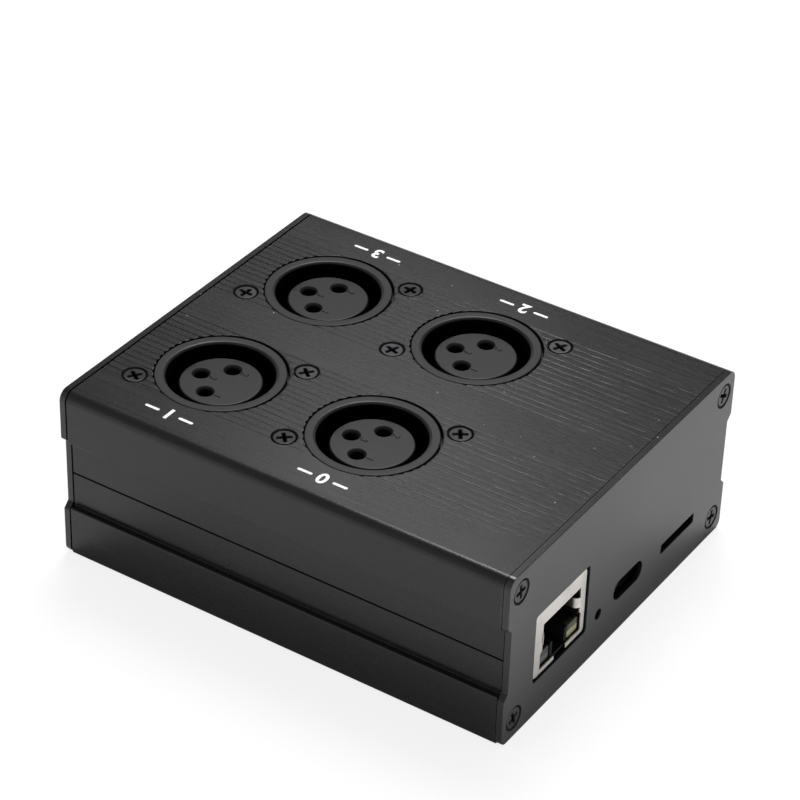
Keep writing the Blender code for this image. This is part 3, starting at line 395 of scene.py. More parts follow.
def mesh_from(name, bm):
    """Mesh of a bmesh, with doubles merged, faces turned outwards and creases marked."""
    bmesh.ops.remove_doubles(bm, verts=bm.verts, dist=1e-7)
    bmesh.ops.recalc_face_normals(bm, faces=bm.faces)
    mesh = bpy.data.meshes.new(name)
    bm.to_mesh(mesh)
    bm.free()
    mesh.shade_smooth()
    mesh.set_sharp_from_angle(angle=SHARP_ANGLE)
    return mesh


def lofted(name, rings):
    """Solid through rings of as many points each, closed at both ends."""
    bm = bmesh.new()
    rows = [[bm.verts.new(point) for point in ring] for ring in rings]
    for row, after in zip(rows, rows[1:]):
        for i in range(len(row)):
            bm.faces.new((row[i - 1], row[i], after[i], after[i - 1]))
    bm.faces.new(rows[0])
    bm.faces.new(rows[-1])
    return mesh_from(name, bm)


def prism(name, outline, low, high, axis="Z"):
    """Straight solid of an outline: (x, y) points pushed along Z, or (y, z) points pushed along X."""
    if axis == "X":
        return lofted(name, [[(x, a, b) for a, b in outline] for x in (low, high)])
    return lofted(name, [[(a, b, z) for a, b in outline] for z in (low, high)])


def stepped(name, outline_at, steps):
    """Solid along X through (x, size) steps; outline_at gives the (y, z) outline for a size."""
    return lofted(name, [[(x, y, z) for y, z in outline_at(size)] for x, size in steps])


def turned(name, profile, steps):
    """Solid of a (radius, z) profile turned about Z, which ends on the axis or closes on itself."""
    bm = bmesh.new()
    ring = [bm.verts.new((r, 0, z)) for r, z in profile]
    pairs = [pair for pair in zip(ring, ring[1:] + ring[:1]) if pair[0].co.x + pair[1].co.x > 1e-9]
    edges = [bm.edges.new(pair) for pair in pairs]
    bmesh.ops.spin(bm, geom=ring + edges, cent=(0, 0, 0), axis=(0, 0, 1), angle=math.tau, steps=steps)
    return mesh_from(name, bm)


def gathered(name, parts):
    """One mesh from (mesh, matrix) pairs."""
    bm = bmesh.new()
    for mesh, matrix in parts:
        copy = mesh.copy()
        copy.transform(matrix)
        bm.from_mesh(copy)
        bpy.data.meshes.remove(copy)
    return mesh_from(name, bm)


def at(x, y, z, turn=None):
    """Matrix of a place and a turn."""
    return Matrix.LocRotScale(Vector((x, y, z)), turn, None)


def evaluated_mesh(item):
    """Plain mesh of an object with its modifiers applied."""
    bpy.context.view_layer.update()
    ready = item.evaluated_get(bpy.context.evaluated_depsgraph_get())
    return bpy.data.meshes.new_from_object(ready)


def mark_hollow(mesh, measure):
    """Stores how deep inside a recess each vertex lies, from 0 to 1, for the finishes to paint as shade."""
    # The "hollow" attribute carries this painted shade
    marks = mesh.attributes.new("hollow", "FLOAT", "POINT")
    for vertex, mark in zip(mesh.vertices, marks.data):
        mark.value = min(max(measure(vertex.co), 0.0), 1.0)
    return mesh


def shown(name, data):
    """New object of some data, linked to the scene."""
    item = bpy.data.objects.new(name, data)
    bpy.context.scene.collection.objects.link(item)
    return item


def carved(name, mesh, *tools):
    """Mesh after a row of Boolean steps, each given as (operation, mesh)."""
    base = shown(name, mesh)
    helpers = []
    for operation, tool in tools:
        helper = shown("tool", tool)
        step = base.modifiers.new(operation.title(), "BOOLEAN")
        step.operation = operation
        step.object = helper
        helpers.append(helper)
    result = evaluated_mesh(base)
    for item in helpers + [base]:
        bpy.data.objects.remove(item, do_unlink=True)
    if not result.polygons:
        raise RuntimeError(f"nothing is left of {name} after its cuts")
    result.name = name
    result.shade_smooth()
    result.set_sharp_from_angle(angle=SHARP_ANGLE)
    return result


def finish(name):
    """Material made for a finish."""
    return next(m for m in bpy.data.materials if m.get("finish") == name)


def put(name, mesh, finishes, nodes=()):
    """Adds a finished piece of the case in place, keeps its flat faces flat and hands it to the frame."""
    for word in finishes:
        mesh.materials.append(finish(word))
    item = shown(name, mesh)
    weigh = item.modifiers.new("Weighted Normal", "WEIGHTED_NORMAL")
    weigh.keep_sharp = True
    item.data = evaluated_mesh(item)
    item.data.name = name
    item.modifiers.clear()
    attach(item, "case")
    if nodes:
        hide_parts(*nodes)
    return item


def glyph_mesh(text, height, thickness, weight=0.0):
    """Solid text about the origin, of the given height along Y."""
    curve = bpy.data.curves.new("glyph", "FONT")
    curve.body = text
    curve.resolution_u = 5
    curve.extrude = 0.5
    curve.offset = weight
    item = shown("glyph", curve)
    mesh = evaluated_mesh(item)
    bpy.data.objects.remove(item, do_unlink=True)
    low, high = (Vector(map(limit, zip(*(v.co for v in mesh.vertices)))) for limit in (min, max))
    grow = height / (high.y - low.y)
    mesh.transform(Matrix.Diagonal((grow, grow, thickness, 1)) @ Matrix.Translation(-(low + high) / 2))
    return gathered("glyph", [(mesh, HERE)])


# Shading


class Graph:
    """A node tree in the making: adds nodes and feeds their inputs with values or other nodes' outputs."""

    def __init__(self, tree):
        self.tree = tree

    def add(self, kind, inputs=None, **settings):
        made = self.tree.nodes.new(kind)
        for name, value in settings.items():
            setattr(made, name, value)
        for name, value in (inputs or {}).items():
            self.feed(made.inputs[name], value)
        return made

    def feed(self, socket, value):
        if isinstance(value, bpy.types.NodeSocket):
            self.tree.links.new(value, socket)
        else:
            socket.default_value = value

    def math(self, operation, *values, clamp=False):
        """Output of a Math node fed with up to three values."""
        made = self.add("ShaderNodeMath", dict(enumerate(values)), operation=operation, use_clamp=clamp)
        return made.outputs[0]

    def times(self, first, second, plus=0.0, clamp=False):
        """Product of two values, with a third added to it."""
        return self.math("MULTIPLY_ADD", first, second, plus, clamp=clamp)

    def vector(self, operation, *values):
        """Output of a Vector Math node; the length and dot product come as a number."""
        made = self.add("ShaderNodeVectorMath", dict(enumerate(values)), operation=operation)
        return made.outputs["Value" if operation in ("LENGTH", "DOT_PRODUCT") else "Vector"]

    def mix(self, factor, first, second):
        """Colour between two colours."""
        made = self.add("ShaderNodeMix", data_type="RGBA")
        for index, value in ((0, factor), (6, first), (7, second)):
            self.feed(made.inputs[index], value)
        return made.outputs[2]

    def span(self, value, low, high, to_low=0.0, to_high=1.0, smooth=False):
        """Value moved from one range to another, held at its ends."""
        made = self.add("ShaderNodeMapRange", {"Value": value, "From Min": low, "From Max": high,
                                               "To Min": to_low, "To Max": to_high})
        made.interpolation_type = "SMOOTHSTEP" if smooth else "LINEAR"
        return made.outputs["Result"]

    def noise(self, vector, scale, detail=2.0):
        """Soft noise from 0 to 1, about 0.5."""
        made = self.add("ShaderNodeTexNoise", {"Vector": vector, "Scale": scale, "Detail": detail})
        return made.outputs["Fac"]


def shader_group(name, inputs, outputs):
    """Empty shader group that takes a Vector and more inputs: the graph and the sockets at its two ends."""
    group = bpy.data.node_groups.new(name, "ShaderNodeTree")
    for label, default in [("Vector", (0, 0, 0))] + inputs:
        kind = "NodeSocketFloat" if isinstance(default, float) else "NodeSocketVector"
        socket = group.interface.new_socket(name=label, in_out="INPUT", socket_type=kind)
        socket.default_value = default
    for label in outputs:
        group.interface.new_socket(name=label, in_out="OUTPUT", socket_type="NodeSocketFloat")
    graph = Graph(group)
    return graph, graph.add("NodeGroupInput").outputs, graph.add("NodeGroupOutput").inputs


def blasted_grain_group():
    """Fine pits and a slight change of tone, as on blasted metal or moulded plastic."""
    graph, given, gives = shader_group("blasted_grain", [("Scale", 3000.0)], ["Height", "Tone"])
    fine = graph.noise(given["Vector"], given["Scale"], 3.0)
    cells = graph.add("ShaderNodeTexVoronoi", {"Vector": given["Vector"], "Scale": given["Scale"]})
    pits = graph.span(cells.outputs["Distance"], 0.0, 0.6)
    graph.feed(gives["Height"], graph.times(fine, pits))
    graph.feed(gives["Tone"], graph.span(fine, 0.3, 0.7))


def drawn_lines_group():
    """Long fine lines along X, left by drawing the metal through its die."""
    inputs = [("Across", 1400.0), ("Along", 18.0)]
    graph, given, gives = shader_group("drawn_lines", inputs, ["Height", "Tone"])
    scales = {"X": given["Along"], "Y": given["Across"], "Z": given["Across"]}
    stretch = graph.add("ShaderNodeCombineXYZ", scales)
    spread = graph.vector("MULTIPLY", given["Vector"], stretch.outputs[0])
    lines = graph.noise(spread, 1.0, 4.0)
    graph.feed(gives["Height"], lines)
    graph.feed(gives["Tone"], graph.span(lines, 0.3, 0.7))


def soft_smudges_group():
    """Broad soft patches, as handling leaves on a matt surface."""
    graph, given, gives = shader_group("soft_smudges", [("Scale", 45.0)], ["Tone"])
    broad = graph.noise(given["Vector"], given["Scale"], 3.0)
    graph.feed(gives["Tone"], graph.span(broad, 0.35, 0.68, smooth=True))


def edge_wear_group():
    """Rubbed places along the edges of a box-shaped piece, measured from its centre and half size."""
    inputs = [("Centre", (0, 0, 0)), ("Half Size", (1, 1, 1)), ("Width", 0.4 * MM), ("Amount", 0.5)]
    graph, given, gives = shader_group("edge_wear", inputs, ["Mask"])
    offset = graph.vector("ABSOLUTE", graph.vector("SUBTRACT", given["Vector"], given["Centre"]))
    inside = graph.add("ShaderNodeSeparateXYZ", {0: graph.vector("SUBTRACT", given["Half Size"], offset)})
    x, y, z = inside.outputs
    low = graph.math("MINIMUM", graph.math("MINIMUM", x, y), z)
    high = graph.math("MAXIMUM", graph.math("MAXIMUM", x, y), z)
    total = graph.math("ADD", graph.math("ADD", x, y), z)
    middle = graph.math("SUBTRACT", graph.math("SUBTRACT", total, low), high)
    near = graph.math("SUBTRACT", 1.0, graph.math("DIVIDE", middle, given["Width"]), clamp=True)
    patches = graph.span(graph.noise(given["Vector"], 260.0, 5.0), 0.44, 0.66)
    graph.feed(gives["Mask"], graph.times(graph.times(near, patches), given["Amount"]))


def dust_group():
    """Sparse round specks."""
    inputs = [("Scale", 420.0), ("Size", 0.07), ("Share", 0.12)]
    graph, given, gives = shader_group("dust_specks", inputs, ["Mask"])
    cells = graph.add("ShaderNodeTexVoronoi", {"Vector": given["Vector"], "Scale": given["Scale"]})
    speck = graph.math("LESS_THAN", cells.outputs["Distance"], given["Size"])
    pick = graph.add("ShaderNodeSeparateColor", {0: cells.outputs["Color"]})
    chosen = graph.math("LESS_THAN", pick.outputs[0], given["Share"])
    graph.feed(gives["Mask"], graph.times(speck, chosen))


def make_groups():
    """All shader groups that the finishes use."""
    for make in (blasted_grain_group, drawn_lines_group, soft_smudges_group, edge_wear_group, dust_group):
        make()


def new_material(name):
    """Material with its graph, its Principled BSDF and its Object coordinates."""
    material = bpy.data.materials.new(name)
    material.use_nodes = True
    graph = Graph(material.node_tree)
    surface = material.node_tree.nodes["Principled BSDF"]
    place = graph.add("ShaderNodeTexCoord").outputs["Object"]
    return material, graph, surface, place


def use_group(graph, name, **inputs):
    """Outputs of a shader group placed in a material."""
    named = {label.replace("_", " "): value for label, value in inputs.items()}
    return graph.add("ShaderNodeGroup", named, node_tree=bpy.data.node_groups[name]).outputs


def hollowed(graph, surface, colour, rough, metallic=0.0):
    """Feeds colour, roughness and metallic, which turn black and dull inside a recess as painted shade."""
    # The "hollow" attribute holds how much painted shade each point takes
    hollow = graph.add("ShaderNodeAttribute", attribute_name="hollow").outputs["Fac"]
    graph.feed(surface.inputs["Base Color"], graph.mix(hollow, colour, RECESS_SHADE_COLOUR))
    graph.feed(surface.inputs["Roughness"], graph.times(hollow, 0.5, rough, clamp=True))
    graph.feed(surface.inputs["Metallic"], graph.math("MAXIMUM", hollow, metallic))


def shade(colour, factor):
    """Opaque colour, made lighter or darker by a factor."""
    return (*(channel * factor for channel in colour), 1.0)


def bumped(graph, surface, height, strength, distance):
    """Feeds a surface's normal with a relief."""
    bump = graph.add("ShaderNodeBump", {"Height": height, "Strength": strength, "Distance": distance})
    graph.feed(surface.inputs["Normal"], bump.outputs["Normal"])


def anodised_material(name, case, tint, centre, half_size, line_share, index):
    """Black anodised aluminium: grain, drawn lines, smudges, a rougher roof end, rubbed edges, dust and
    painted shade in recesses; on an end plate the roof tint paints shade on its up-facing top strip.
    """
    roof_tint_and_shade = case.tint
    material, graph, surface, place = new_material(name)
    grain = use_group(graph, "blasted_grain", Vector=place, Scale=2600.0)
    lines = use_group(graph, "drawn_lines", Vector=place)
    smudge = use_group(graph, "soft_smudges", Vector=place)["Tone"]
    rubbed = {"Centre": centre, "Half_Size": half_size, "Amount": 0.08}
    wear = use_group(graph, "edge_wear", Vector=place, **rubbed)["Mask"]
    tone = graph.times(lines["Tone"], line_share, graph.times(grain["Tone"], 0.3))
    colour = graph.mix(tone, shade(tint, 0.8), shade(tint, 1.35))
    colour = graph.mix(graph.times(smudge, 0.35), colour, shade(tint, 1.3))
    colour = graph.mix(wear, colour, WORN_COLOUR)
    along, across, height = graph.add("ShaderNodeSeparateXYZ", {0: place}).outputs
    roof = graph.span(height, CASE_HEIGHT - 0.5 * MM, CASE_HEIGHT - 0.2 * MM)
    hatch = use_group(graph, "drawn_lines", Vector=place, Across=2600.0, Along=480.0)
    rough_end = graph.times(roof, graph.span(along, 0.2 * HALF_BODY, HALF_BODY))
    from_front = graph.span(across, -HALF_WIDTH, 0, 0.5 * line_share, 1.6 * line_share)
    hatching = graph.times(rough_end, from_front)
    # On the end plates this paints the case's darker tint on their up-facing top strip as painted shade; on
    # the case it is the case's own tint
    colour = graph.mix(roof, colour, graph.mix(tone, shade(roof_tint_and_shade, 0.8), shade(roof_tint_and_shade, 1.35)))
    colour = graph.mix(graph.times(hatching, hatch["Tone"]), colour, shade(roof_tint_and_shade, 0.35))
    specks = use_group(graph, "dust_specks", Vector=place)["Mask"]
    settled = graph.times(specks, graph.math("GREATER_THAN", height, CASE_HEIGHT - 0.02 * MM))
    colour = graph.mix(graph.times(settled, 0.55), colour, DUST_COLOUR)
    rough = graph.times(tone, 0.08, graph.times(smudge, -0.04, 0.24))
    hollowed(graph, surface, colour, graph.times(settled, 0.3, rough))
    surface.inputs["IOR"].default_value = index
    relief = graph.times(lines["Height"], line_share, graph.times(grain["Height"], 0.6))
    relief = graph.times(graph.times(hatch["Height"], 3.5), hatching, relief)
    bumped(graph, surface, relief, 0.28, 0.03 * MM)
    return material


def moulded_material(name, tint, roughness, grain_scale, depth, gloss=0.5):
    """Moulded plastic with a fine spark-eroded grain, slight sheen patches and painted shade in recesses."""
    material, graph, surface, place = new_material(name)
    grain = use_group(graph, "blasted_grain", Vector=place, Scale=grain_scale)
    smudge = use_group(graph, "soft_smudges", Vector=place, Scale=120.0)["Tone"]
    colour = graph.mix(grain["Tone"], shade(tint, 0.82), shade(tint, 1.18))
    colour = graph.mix(graph.times(smudge, 0.3), colour, shade(tint, 1.25))
    rough = graph.times(smudge, -0.08, graph.times(grain["Tone"], 0.06, roughness))
    hollowed(graph, surface, colour, rough)
    surface.inputs["Specular IOR Level"].default_value = gloss
    bumped(graph, surface, grain["Height"], 0.3, depth)
    return material


def metal_material(name, tint, roughness, grain_scale, brush=0.0, metallic=1.0, spread=0.15):
    """Plated or blackened metal with fine grain, drawn lines by share, cloudy patches and painted shade in
    recesses.
    """
    material, graph, surface, place = new_material(name)
    grain = use_group(graph, "blasted_grain", Vector=place, Scale=grain_scale)
    lines = use_group(graph, "drawn_lines", Vector=place, Across=4200.0, Along=150.0)
    smudge = use_group(graph, "soft_smudges", Vector=place, Scale=160.0)["Tone"]
    tone = graph.times(lines["Tone"], brush, graph.times(smudge, 1.0 - brush))
    colour = graph.mix(tone, shade(tint, 1.0 - spread), shade(tint, 1.0 + spread))
    rough = graph.times(grain["Tone"], 0.1, graph.times(smudge, 0.08, roughness))
    hollowed(graph, surface, colour, rough, metallic)
    relief = graph.times(lines["Height"], brush, graph.times(grain["Height"], 0.5))
    bumped(graph, surface, relief, 0.25, 0.02 * MM)
    return material


def lens_material(name, tint):
    """Clear tinted plastic of a signal lamp, darker and browner at its foot, with painted shade towards its
    top.
    """
    material, graph, surface, place = new_material(name)
    grain = use_group(graph, "blasted_grain", Vector=place, Scale=1500.0)
    height = graph.add("ShaderNodeSeparateXYZ", {0: place}).outputs["Z"]
    # The tint holds in a low band; below it the colour turns darker and browner, and above it fades to near
    # black as painted shade
    bright_top = MOUTH_FLOOR + LAMP_HEIGHT * 0.4
    top_shade = graph.span(height, bright_top, MOUTH_FLOOR + LAMP_HEIGHT * 0.7, smooth=True)
    foot_tone = graph.span(height, MOUTH_FLOOR, bright_top)
    colour = graph.mix(foot_tone, shade((tint[0], tint[1] * 0.75, tint[2] * 0.6), 0.35), shade(tint, 1.1))
    colour = graph.mix(top_shade, colour, shade(tint, 0.04))
    cast = graph.times(grain["Tone"], 0.1)
    graph.feed(surface.inputs["Base Color"], graph.mix(cast, colour, shade(tint, 0.9)))
    graph.feed(surface.inputs["Roughness"], graph.times(grain["Tone"], 0.1, 0.14))
    surface.inputs["IOR"].default_value = 1.49
    bumped(graph, surface, grain["Height"], 0.1, 0.02 * MM)
    return material


def board_material():
    """Solder mask over copper tracks on a glass-cloth board."""
    material, graph, surface, place = new_material("solder_mask_board")
    grain = use_group(graph, "blasted_grain", Vector=place, Scale=1800.0)
    bricks = {"Vector": place, "Scale": 190.0, "Mortar Size": 0.09, "Color1": (0, 0, 0, 1),
              "Color2": (0.2, 0.2, 0.2, 1), "Mortar": (1, 1, 1, 1)}
    tracks = graph.add("ShaderNodeTexBrick", bricks)
    mask = graph.mix(grain["Tone"], (0.004, 0.016, 0.009, 1.0), (0.006, 0.022, 0.012, 1.0))
    tracked = graph.mix(tracks.outputs["Color"], mask, (0.010, 0.040, 0.020, 1.0))
    graph.feed(surface.inputs["Base Color"], tracked)
    graph.feed(surface.inputs["Roughness"], graph.times(grain["Tone"], 0.12, 0.3))
    bumped(graph, surface, tracks.outputs["Fac"], 0.2, 0.03 * MM)
    return material


def make_materials(scene):
    """All finishes of the box, by name."""
    case, sockets, screws = scene.box_case, scene.box_sockets, scene.box_screws
    grain_depth = 0.03 * MM
    cover_half = Vector((HALF_BODY, HALF_WIDTH, CASE_HEIGHT / 2))
    plate_middle = middle_of("connector_end_plate")
    plate_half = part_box("connector_end_plate")[1] - plate_middle
    far_plate = Vector((-plate_middle.x, plate_middle.y, plate_middle.z))
    centre = Vector((0, 0, CASE_HEIGHT / 2))
    return {
        "case": anodised_material("anodised_case", case, case.tint, centre, cover_half, 0.7, 1.43),
        "connector_plate": anodised_material("anodised_connector_plate", case, case.plate_tint,
                                             plate_middle, plate_half, 0.12, 1.45),
        "blank_plate": anodised_material("anodised_blank_plate", case, case.plate_tint,
                                         far_plate, plate_half, 0.12, 1.45),
        "socket": moulded_material("moulded_socket_plastic", sockets.tint, 0.4, 2400.0, grain_depth, 0.36),
        "inner": moulded_material("moulded_inner_plastic", (0.004, 0.004, 0.0045), 0.6, 2600.0,
                                  grain_depth, 0.15),
        "button": moulded_material("moulded_button_plastic", (0.03, 0.03, 0.032), 0.45, 2600.0, 0.02 * MM),
        "chip": moulded_material("moulded_chip_epoxy", (0.022, 0.022, 0.024), 0.55, 3200.0, grain_depth),
        "screw": metal_material("blackened_screw_steel", screws.tint, 0.28, 3000.0, 0.0, 0.85, 0.3),
        "shield": metal_material("tinned_sheet", scene.box_ports.sheet_tint, 0.3, 2500.0, 0.3),
        "dark_shell": metal_material("darkened_shell_steel", (0.007, 0.007, 0.0075), 0.5, 2500.0, 0.2, 0.9),
        "gold": metal_material("gold_plated_contact", (0.62, 0.44, 0.19), 0.25, 4000.0, 0.4),
        "green_lens": lens_material("clear_green_lens", (0.085, 0.11, 0.09)),
        "yellow_lens": lens_material("clear_yellow_lens", (0.43, 0.41, 0.22)),
        "ink": moulded_material("printed_white_ink", scene.box_marks.tint, 0.55, 2200.0, 0.004 * MM),
        "board": board_material(),
    }


# Case


def channel_corners(z):
    """Screw channel, round from the foot of the slit in its inner wall to the slit's top."""
    half_slit = CHANNEL_SLIT / 2
    half_turn = math.degrees(math.asin(half_slit / CHANNEL_RADIUS))
    ring = arc((CHANNEL_Y, z), CHANNEL_RADIUS, 180 + half_turn, 540 - half_turn, 24)
    inner = [(CHANNEL_INNER_Y, z - half_slit)] + ring + [(CHANNEL_INNER_Y, z + half_slit)]
    return [(y, height, 0) for y, height in inner]


def groove_corners(case, x, side):
    """Soft dips in one roof half at a place along the roof, from the middle outwards."""
    corners = []
    for lane in range(GROOVE_COUNT):
        spot = Vector((x / case.groove_wave, lane * 7.3, side * 3.1))
        middle = GROOVE_FIRST + lane * GROOVE_PITCH + case.groove_sway * noise.noise(spot)
        change = GROOVE_CHANGE * noise.noise(spot * 1.7)
        depth = case.groove_depth * (GROOVE_MEAN - GROOVE_LOSS * x / HALF_BODY + change)
        for k in range(GROOVE_POINTS + 1):
            share = 2 * k / GROOVE_POINTS - 1
            dip = depth * (1 + math.cos(math.pi * share)) / 2
            corners.append((middle + share * case.groove_half_width, CASE_HEIGHT - dip, 0))
    return corners


def top_half(case, x, side):
    """Half of the upper cover's section: grooved roof, recess, lap joint and screw channel."""
    inner_y = HALF_WIDTH - case.wall
    web_y = RECESS_Y - case.wall
    skin_y = RECESS_Y - LAP_SKIN
    skin_foot = COVER_LOW.z
    tongue_foot = skin_foot + LAP_HEIGHT
    channel_foot = CASE_HEIGHT - CHANNEL_TOP
    roof_inside = CASE_HEIGHT - case.wall
    soft = case.ledge_rounding
    half = [(0, CASE_HEIGHT, 0)] + groove_corners(case, x, side)
    half += [(HALF_WIDTH, CASE_HEIGHT, ROOF_EDGE_RADIUS), (HALF_WIDTH, LEDGE_HIGH, soft / 2)]
    half += [(RECESS_Y, LEDGE_HIGH, soft / 2), (RECESS_Y, skin_foot, soft / 3), (skin_y, skin_foot, 0)]
    half += [(skin_y, tongue_foot, 0), (web_y, tongue_foot, 0), (web_y, LEDGE_HIGH + case.wall, soft)]
    half += [(inner_y, LEDGE_HIGH + case.wall, soft), (inner_y, channel_foot, soft)]
    half += [(CHANNEL_INNER_Y, channel_foot, 0)] + channel_corners(CASE_HEIGHT - CHANNEL_HEIGHT)
    return half + [(CHANNEL_INNER_Y, roof_inside, soft), (0, roof_inside, 0)]


def bottom_outline(case):
    """Lower cover seen from its end: base, recess, lap joint, board slots and screw channels."""
    inner_y = HALF_WIDTH - case.wall
    web_y = RECESS_Y - case.wall
    tongue_y = RECESS_Y - LAP_SKIN - GAP
    skin_top = SEAM_HEIGHT - GAP / 2
    tongue_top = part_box("bottom_cover")[1].z
    slot_top = BOARD_TOP + GAP
    rail_y = inner_y - RAIL_REACH
    soft = case.ledge_rounding
    half = [(0, 0, 0), (HALF_WIDTH, 0, BASE_EDGE_RADIUS), (HALF_WIDTH, LEDGE_LOW, soft)]
    half += [(RECESS_Y, LEDGE_LOW, soft / 2), (RECESS_Y, skin_top, soft / 3)]
    half += [(tongue_y, skin_top, 0), (tongue_y, tongue_top, 0), (web_y, tongue_top, 0)]
    half += [(web_y, slot_top + RAIL_HEIGHT, soft), (rail_y, slot_top + RAIL_HEIGHT, soft)]
    half += [(rail_y, slot_top, 0), (inner_y, slot_top, 0), (inner_y, CHANNEL_TOP, 0)]
    half += [(CHANNEL_INNER_Y, CHANNEL_TOP, soft)] + channel_corners(CHANNEL_HEIGHT)[::-1]
    half += [(CHANNEL_INNER_Y, case.wall, soft), (0, case.wall, 0)]
    return filleted(mirrored(half))


def lipped_profile(radius, edge, depth):
    """Half section of a round cutter from z = 0 down, flared to leave a rounded lip."""
    lip = arc((radius + edge, -edge), edge, 90, 180, 4)
    return [(0, REACH), (radius + edge, REACH)] + lip + [(radius, -depth), (0, -depth)]


def seat_profile(wall):
    """Half section of a countersunk seat and its through hole."""
    seat = HEAD_RADIUS + SEAT_GAP
    throat = -(seat - SCREW_HOLE_RADIUS)
    profile = [(0, REACH), (seat + SEAT_EDGE, REACH), (seat + SEAT_EDGE, 0), (seat, -SEAT_EDGE)]
    return profile + [(SCREW_HOLE_RADIUS, throat), (SCREW_HOLE_RADIUS, -wall - REACH), (0, -wall - REACH)]


def hole_places():
    """Centres of the roof's four socket holes, each a hair off its socket."""
    return [middle_of(f"socket_{number}_housing").xy + HOLE_SHIFT for number in range(4)]


def notched_hole(case, centre):
    """Cutter for a socket hole about its axis, with small pits where the grooves meet its rim."""
    radius = COLLAR_RADIUS + case.hole_gap
    hole = turned("hole", lipped_profile(radius, case.hole_rounding, case.wall + REACH), ROUND_STEPS)
    pit = prism("pit", rounded_rectangle((0, 0), *PIT_SIZE), -PIT_DEPTH, REACH / 2)
    parts = []
    for lane in range(GROOVE_COUNT):
        y = math.copysign(GROOVE_FIRST + lane * GROOVE_PITCH, centre.y) - centre.y
        across = y / (radius + case.hole_rounding)
        if abs(across) > PIT_LIMIT_ACROSS:
            continue
        for side in (-1, 1):
            x = side * (radius + case.hole_rounding) * math.sqrt(1 - across * across)
            if HOLE_SHIFT.normalized().dot((x, y)) > PIT_LIMIT_SHIFTED * radius:
                continue
            parts.append((pit, at(x, y, 0, Quaternion((0, 0, 1), math.atan2(y, x) + math.pi / 2))))
    return carved("hole", hole, ("UNION", gathered("pits", parts)))


def top_cover_mesh(case):
    """Upper cover with a lipped hole for each socket and a seat for each of its screws."""
    radius = COLLAR_RADIUS + case.hole_gap
    seat = turned("seat", seat_profile(case.wall), HOLE_STEPS)
    parts, seats, centres = [], [], hole_places()
    for number, centre in enumerate(centres):
        parts.append((notched_hole(case, centre), at(centre.x, centre.y, CASE_HEIGHT)))
        for letter in "ab":
            screw = middle_of(f"socket_{number}_screw_{letter}")
            parts.append((seat, at(screw.x, screw.y, CASE_HEIGHT)))
            seats.append(screw.xy)
    rings = []
    for i in range(COVER_SECTIONS + 1):
        x = COVER_START + (COVER_END - COVER_START) * i / COVER_SECTIONS
        section = filleted(mirrored(top_half(case, x, 1), top_half(case, x, -1)))
        rings.append([(x, y, z) for y, z in section])
    lowest, highest = CASE_HEIGHT - case.wall / 2, CASE_HEIGHT - 0.012 * MM
    for i, (x, y, z) in enumerate(rings[0]):
        if lowest < z < highest and abs(y) < HALF_WIDTH - 3 * MM:
            rings[0][i] = (x + case.torn_end, y, z)
    shell = carved("top_shell", lofted("top_shell", rings), ("DIFFERENCE", gathered("roof_cuts", parts)))

    # Painted shade down the walls of the socket holes and in the screw seats
    def cut_wall(spot):
        depth = CASE_HEIGHT - spot.z
        if depth < CUT_SKIN or depth > case.wall + REACH:
            return 0
        if min((spot.xy - centre).length for centre in centres) < radius + 2 * GAP:
            return (depth - 0.08 * MM) / CUT_STRETCH
        near_seat = min((spot.xy - centre).length for centre in seats) < HEAD_RADIUS + 1.2 * GAP
        return SEAT_SHADE if near_seat else 0

    return mark_hollow(shell, cut_wall)


def plate_outline():
    """End plate seen from the end: round corners and side notches with sloped ends."""
    slope = RECESS_DEPTH / 2
    soft = 0.25 * MM
    half = [(0, 0, 0), (HALF_WIDTH, 0, PLATE_BASE_RADIUS), (HALF_WIDTH, LEDGE_LOW - slope, soft)]
    half += [(RECESS_Y, LEDGE_LOW + slope, soft), (RECESS_Y, LEDGE_HIGH - slope, soft)]
    half += [(HALF_WIDTH, LEDGE_HIGH + slope, soft), (HALF_WIDTH, CASE_HEIGHT, ROOF_EDGE_RADIUS)]
    return filleted(mirrored(half + [(0, CASE_HEIGHT, 0)]))


def through_cutter(outline_at):
    """Cutter through the connector plate that leaves a rounded edge; outline_at gives its grown outline."""
    edge = PORT_EDGE
    steps = [(PLATE_OUTSIDE + REACH, edge)] + arc((PLATE_OUTSIDE - edge, edge), edge, 0, -90, 4)
    return stepped("plate_cut", outline_at, steps + [(PLATE_INSIDE - REACH, 0.0)])


def plate_mesh(name, side, case, cutters=()):
    """End plate at one end, with its face edge rounded and its screw seats sunk."""
    bm = bmesh.new()
    blank = prism(name, plate_outline(), side * PLATE_INSIDE, side * PLATE_OUTSIDE, "X")
    bm.from_mesh(blank)
    face_edges = [e for e in bm.edges if all(abs(v.co.x - side * PLATE_OUTSIDE) < 1e-7 for v in e.verts)]
    bmesh.ops.bevel(bm, geom=face_edges, offset=case.plate_rounding, segments=3, profile=0.5,
                    affect="EDGES", clamp_overlap=True)
    rounded = mesh_from(name, bm)
    seat = turned("seat", seat_profile(PLATE_OUTSIDE - PLATE_INSIDE), HOLE_STEPS)
    word = "connector" if side > 0 else "blank"
    turn = Quaternion((0, 1, 0), side * math.pi / 2)
    places = [middle_of(f"{word}_plate_screw_{number}") for number in range(4)]
    parts = [(seat, at(side * PLATE_OUTSIDE, spot.y, spot.z, turn)) for spot in places]
    parts += [(cutter, HERE) for cutter in cutters]
    plate = carved(name, rounded, ("DIFFERENCE", gathered("plate_cuts", parts)))
    inset = 3.0 * MM

    # Painted shade in the screw seats and down the walls of the openings
    def opening_wall(spot):
        depth = abs(side * PLATE_OUTSIDE - spot.x)
        if any((spot.yz - place.yz).length < HEAD_RADIUS + 1.2 * GAP for place in places):
            return min(depth / CUT_SKIN, SEAT_SHADE)
        if abs(spot.y) > CHANNEL_Y - HEAD_RADIUS - inset or not inset < spot.z < CASE_HEIGHT - inset:
            return 0
        return (depth - CUT_SKIN) / CUT_STRETCH

    return mark_hollow(plate, opening_wall)


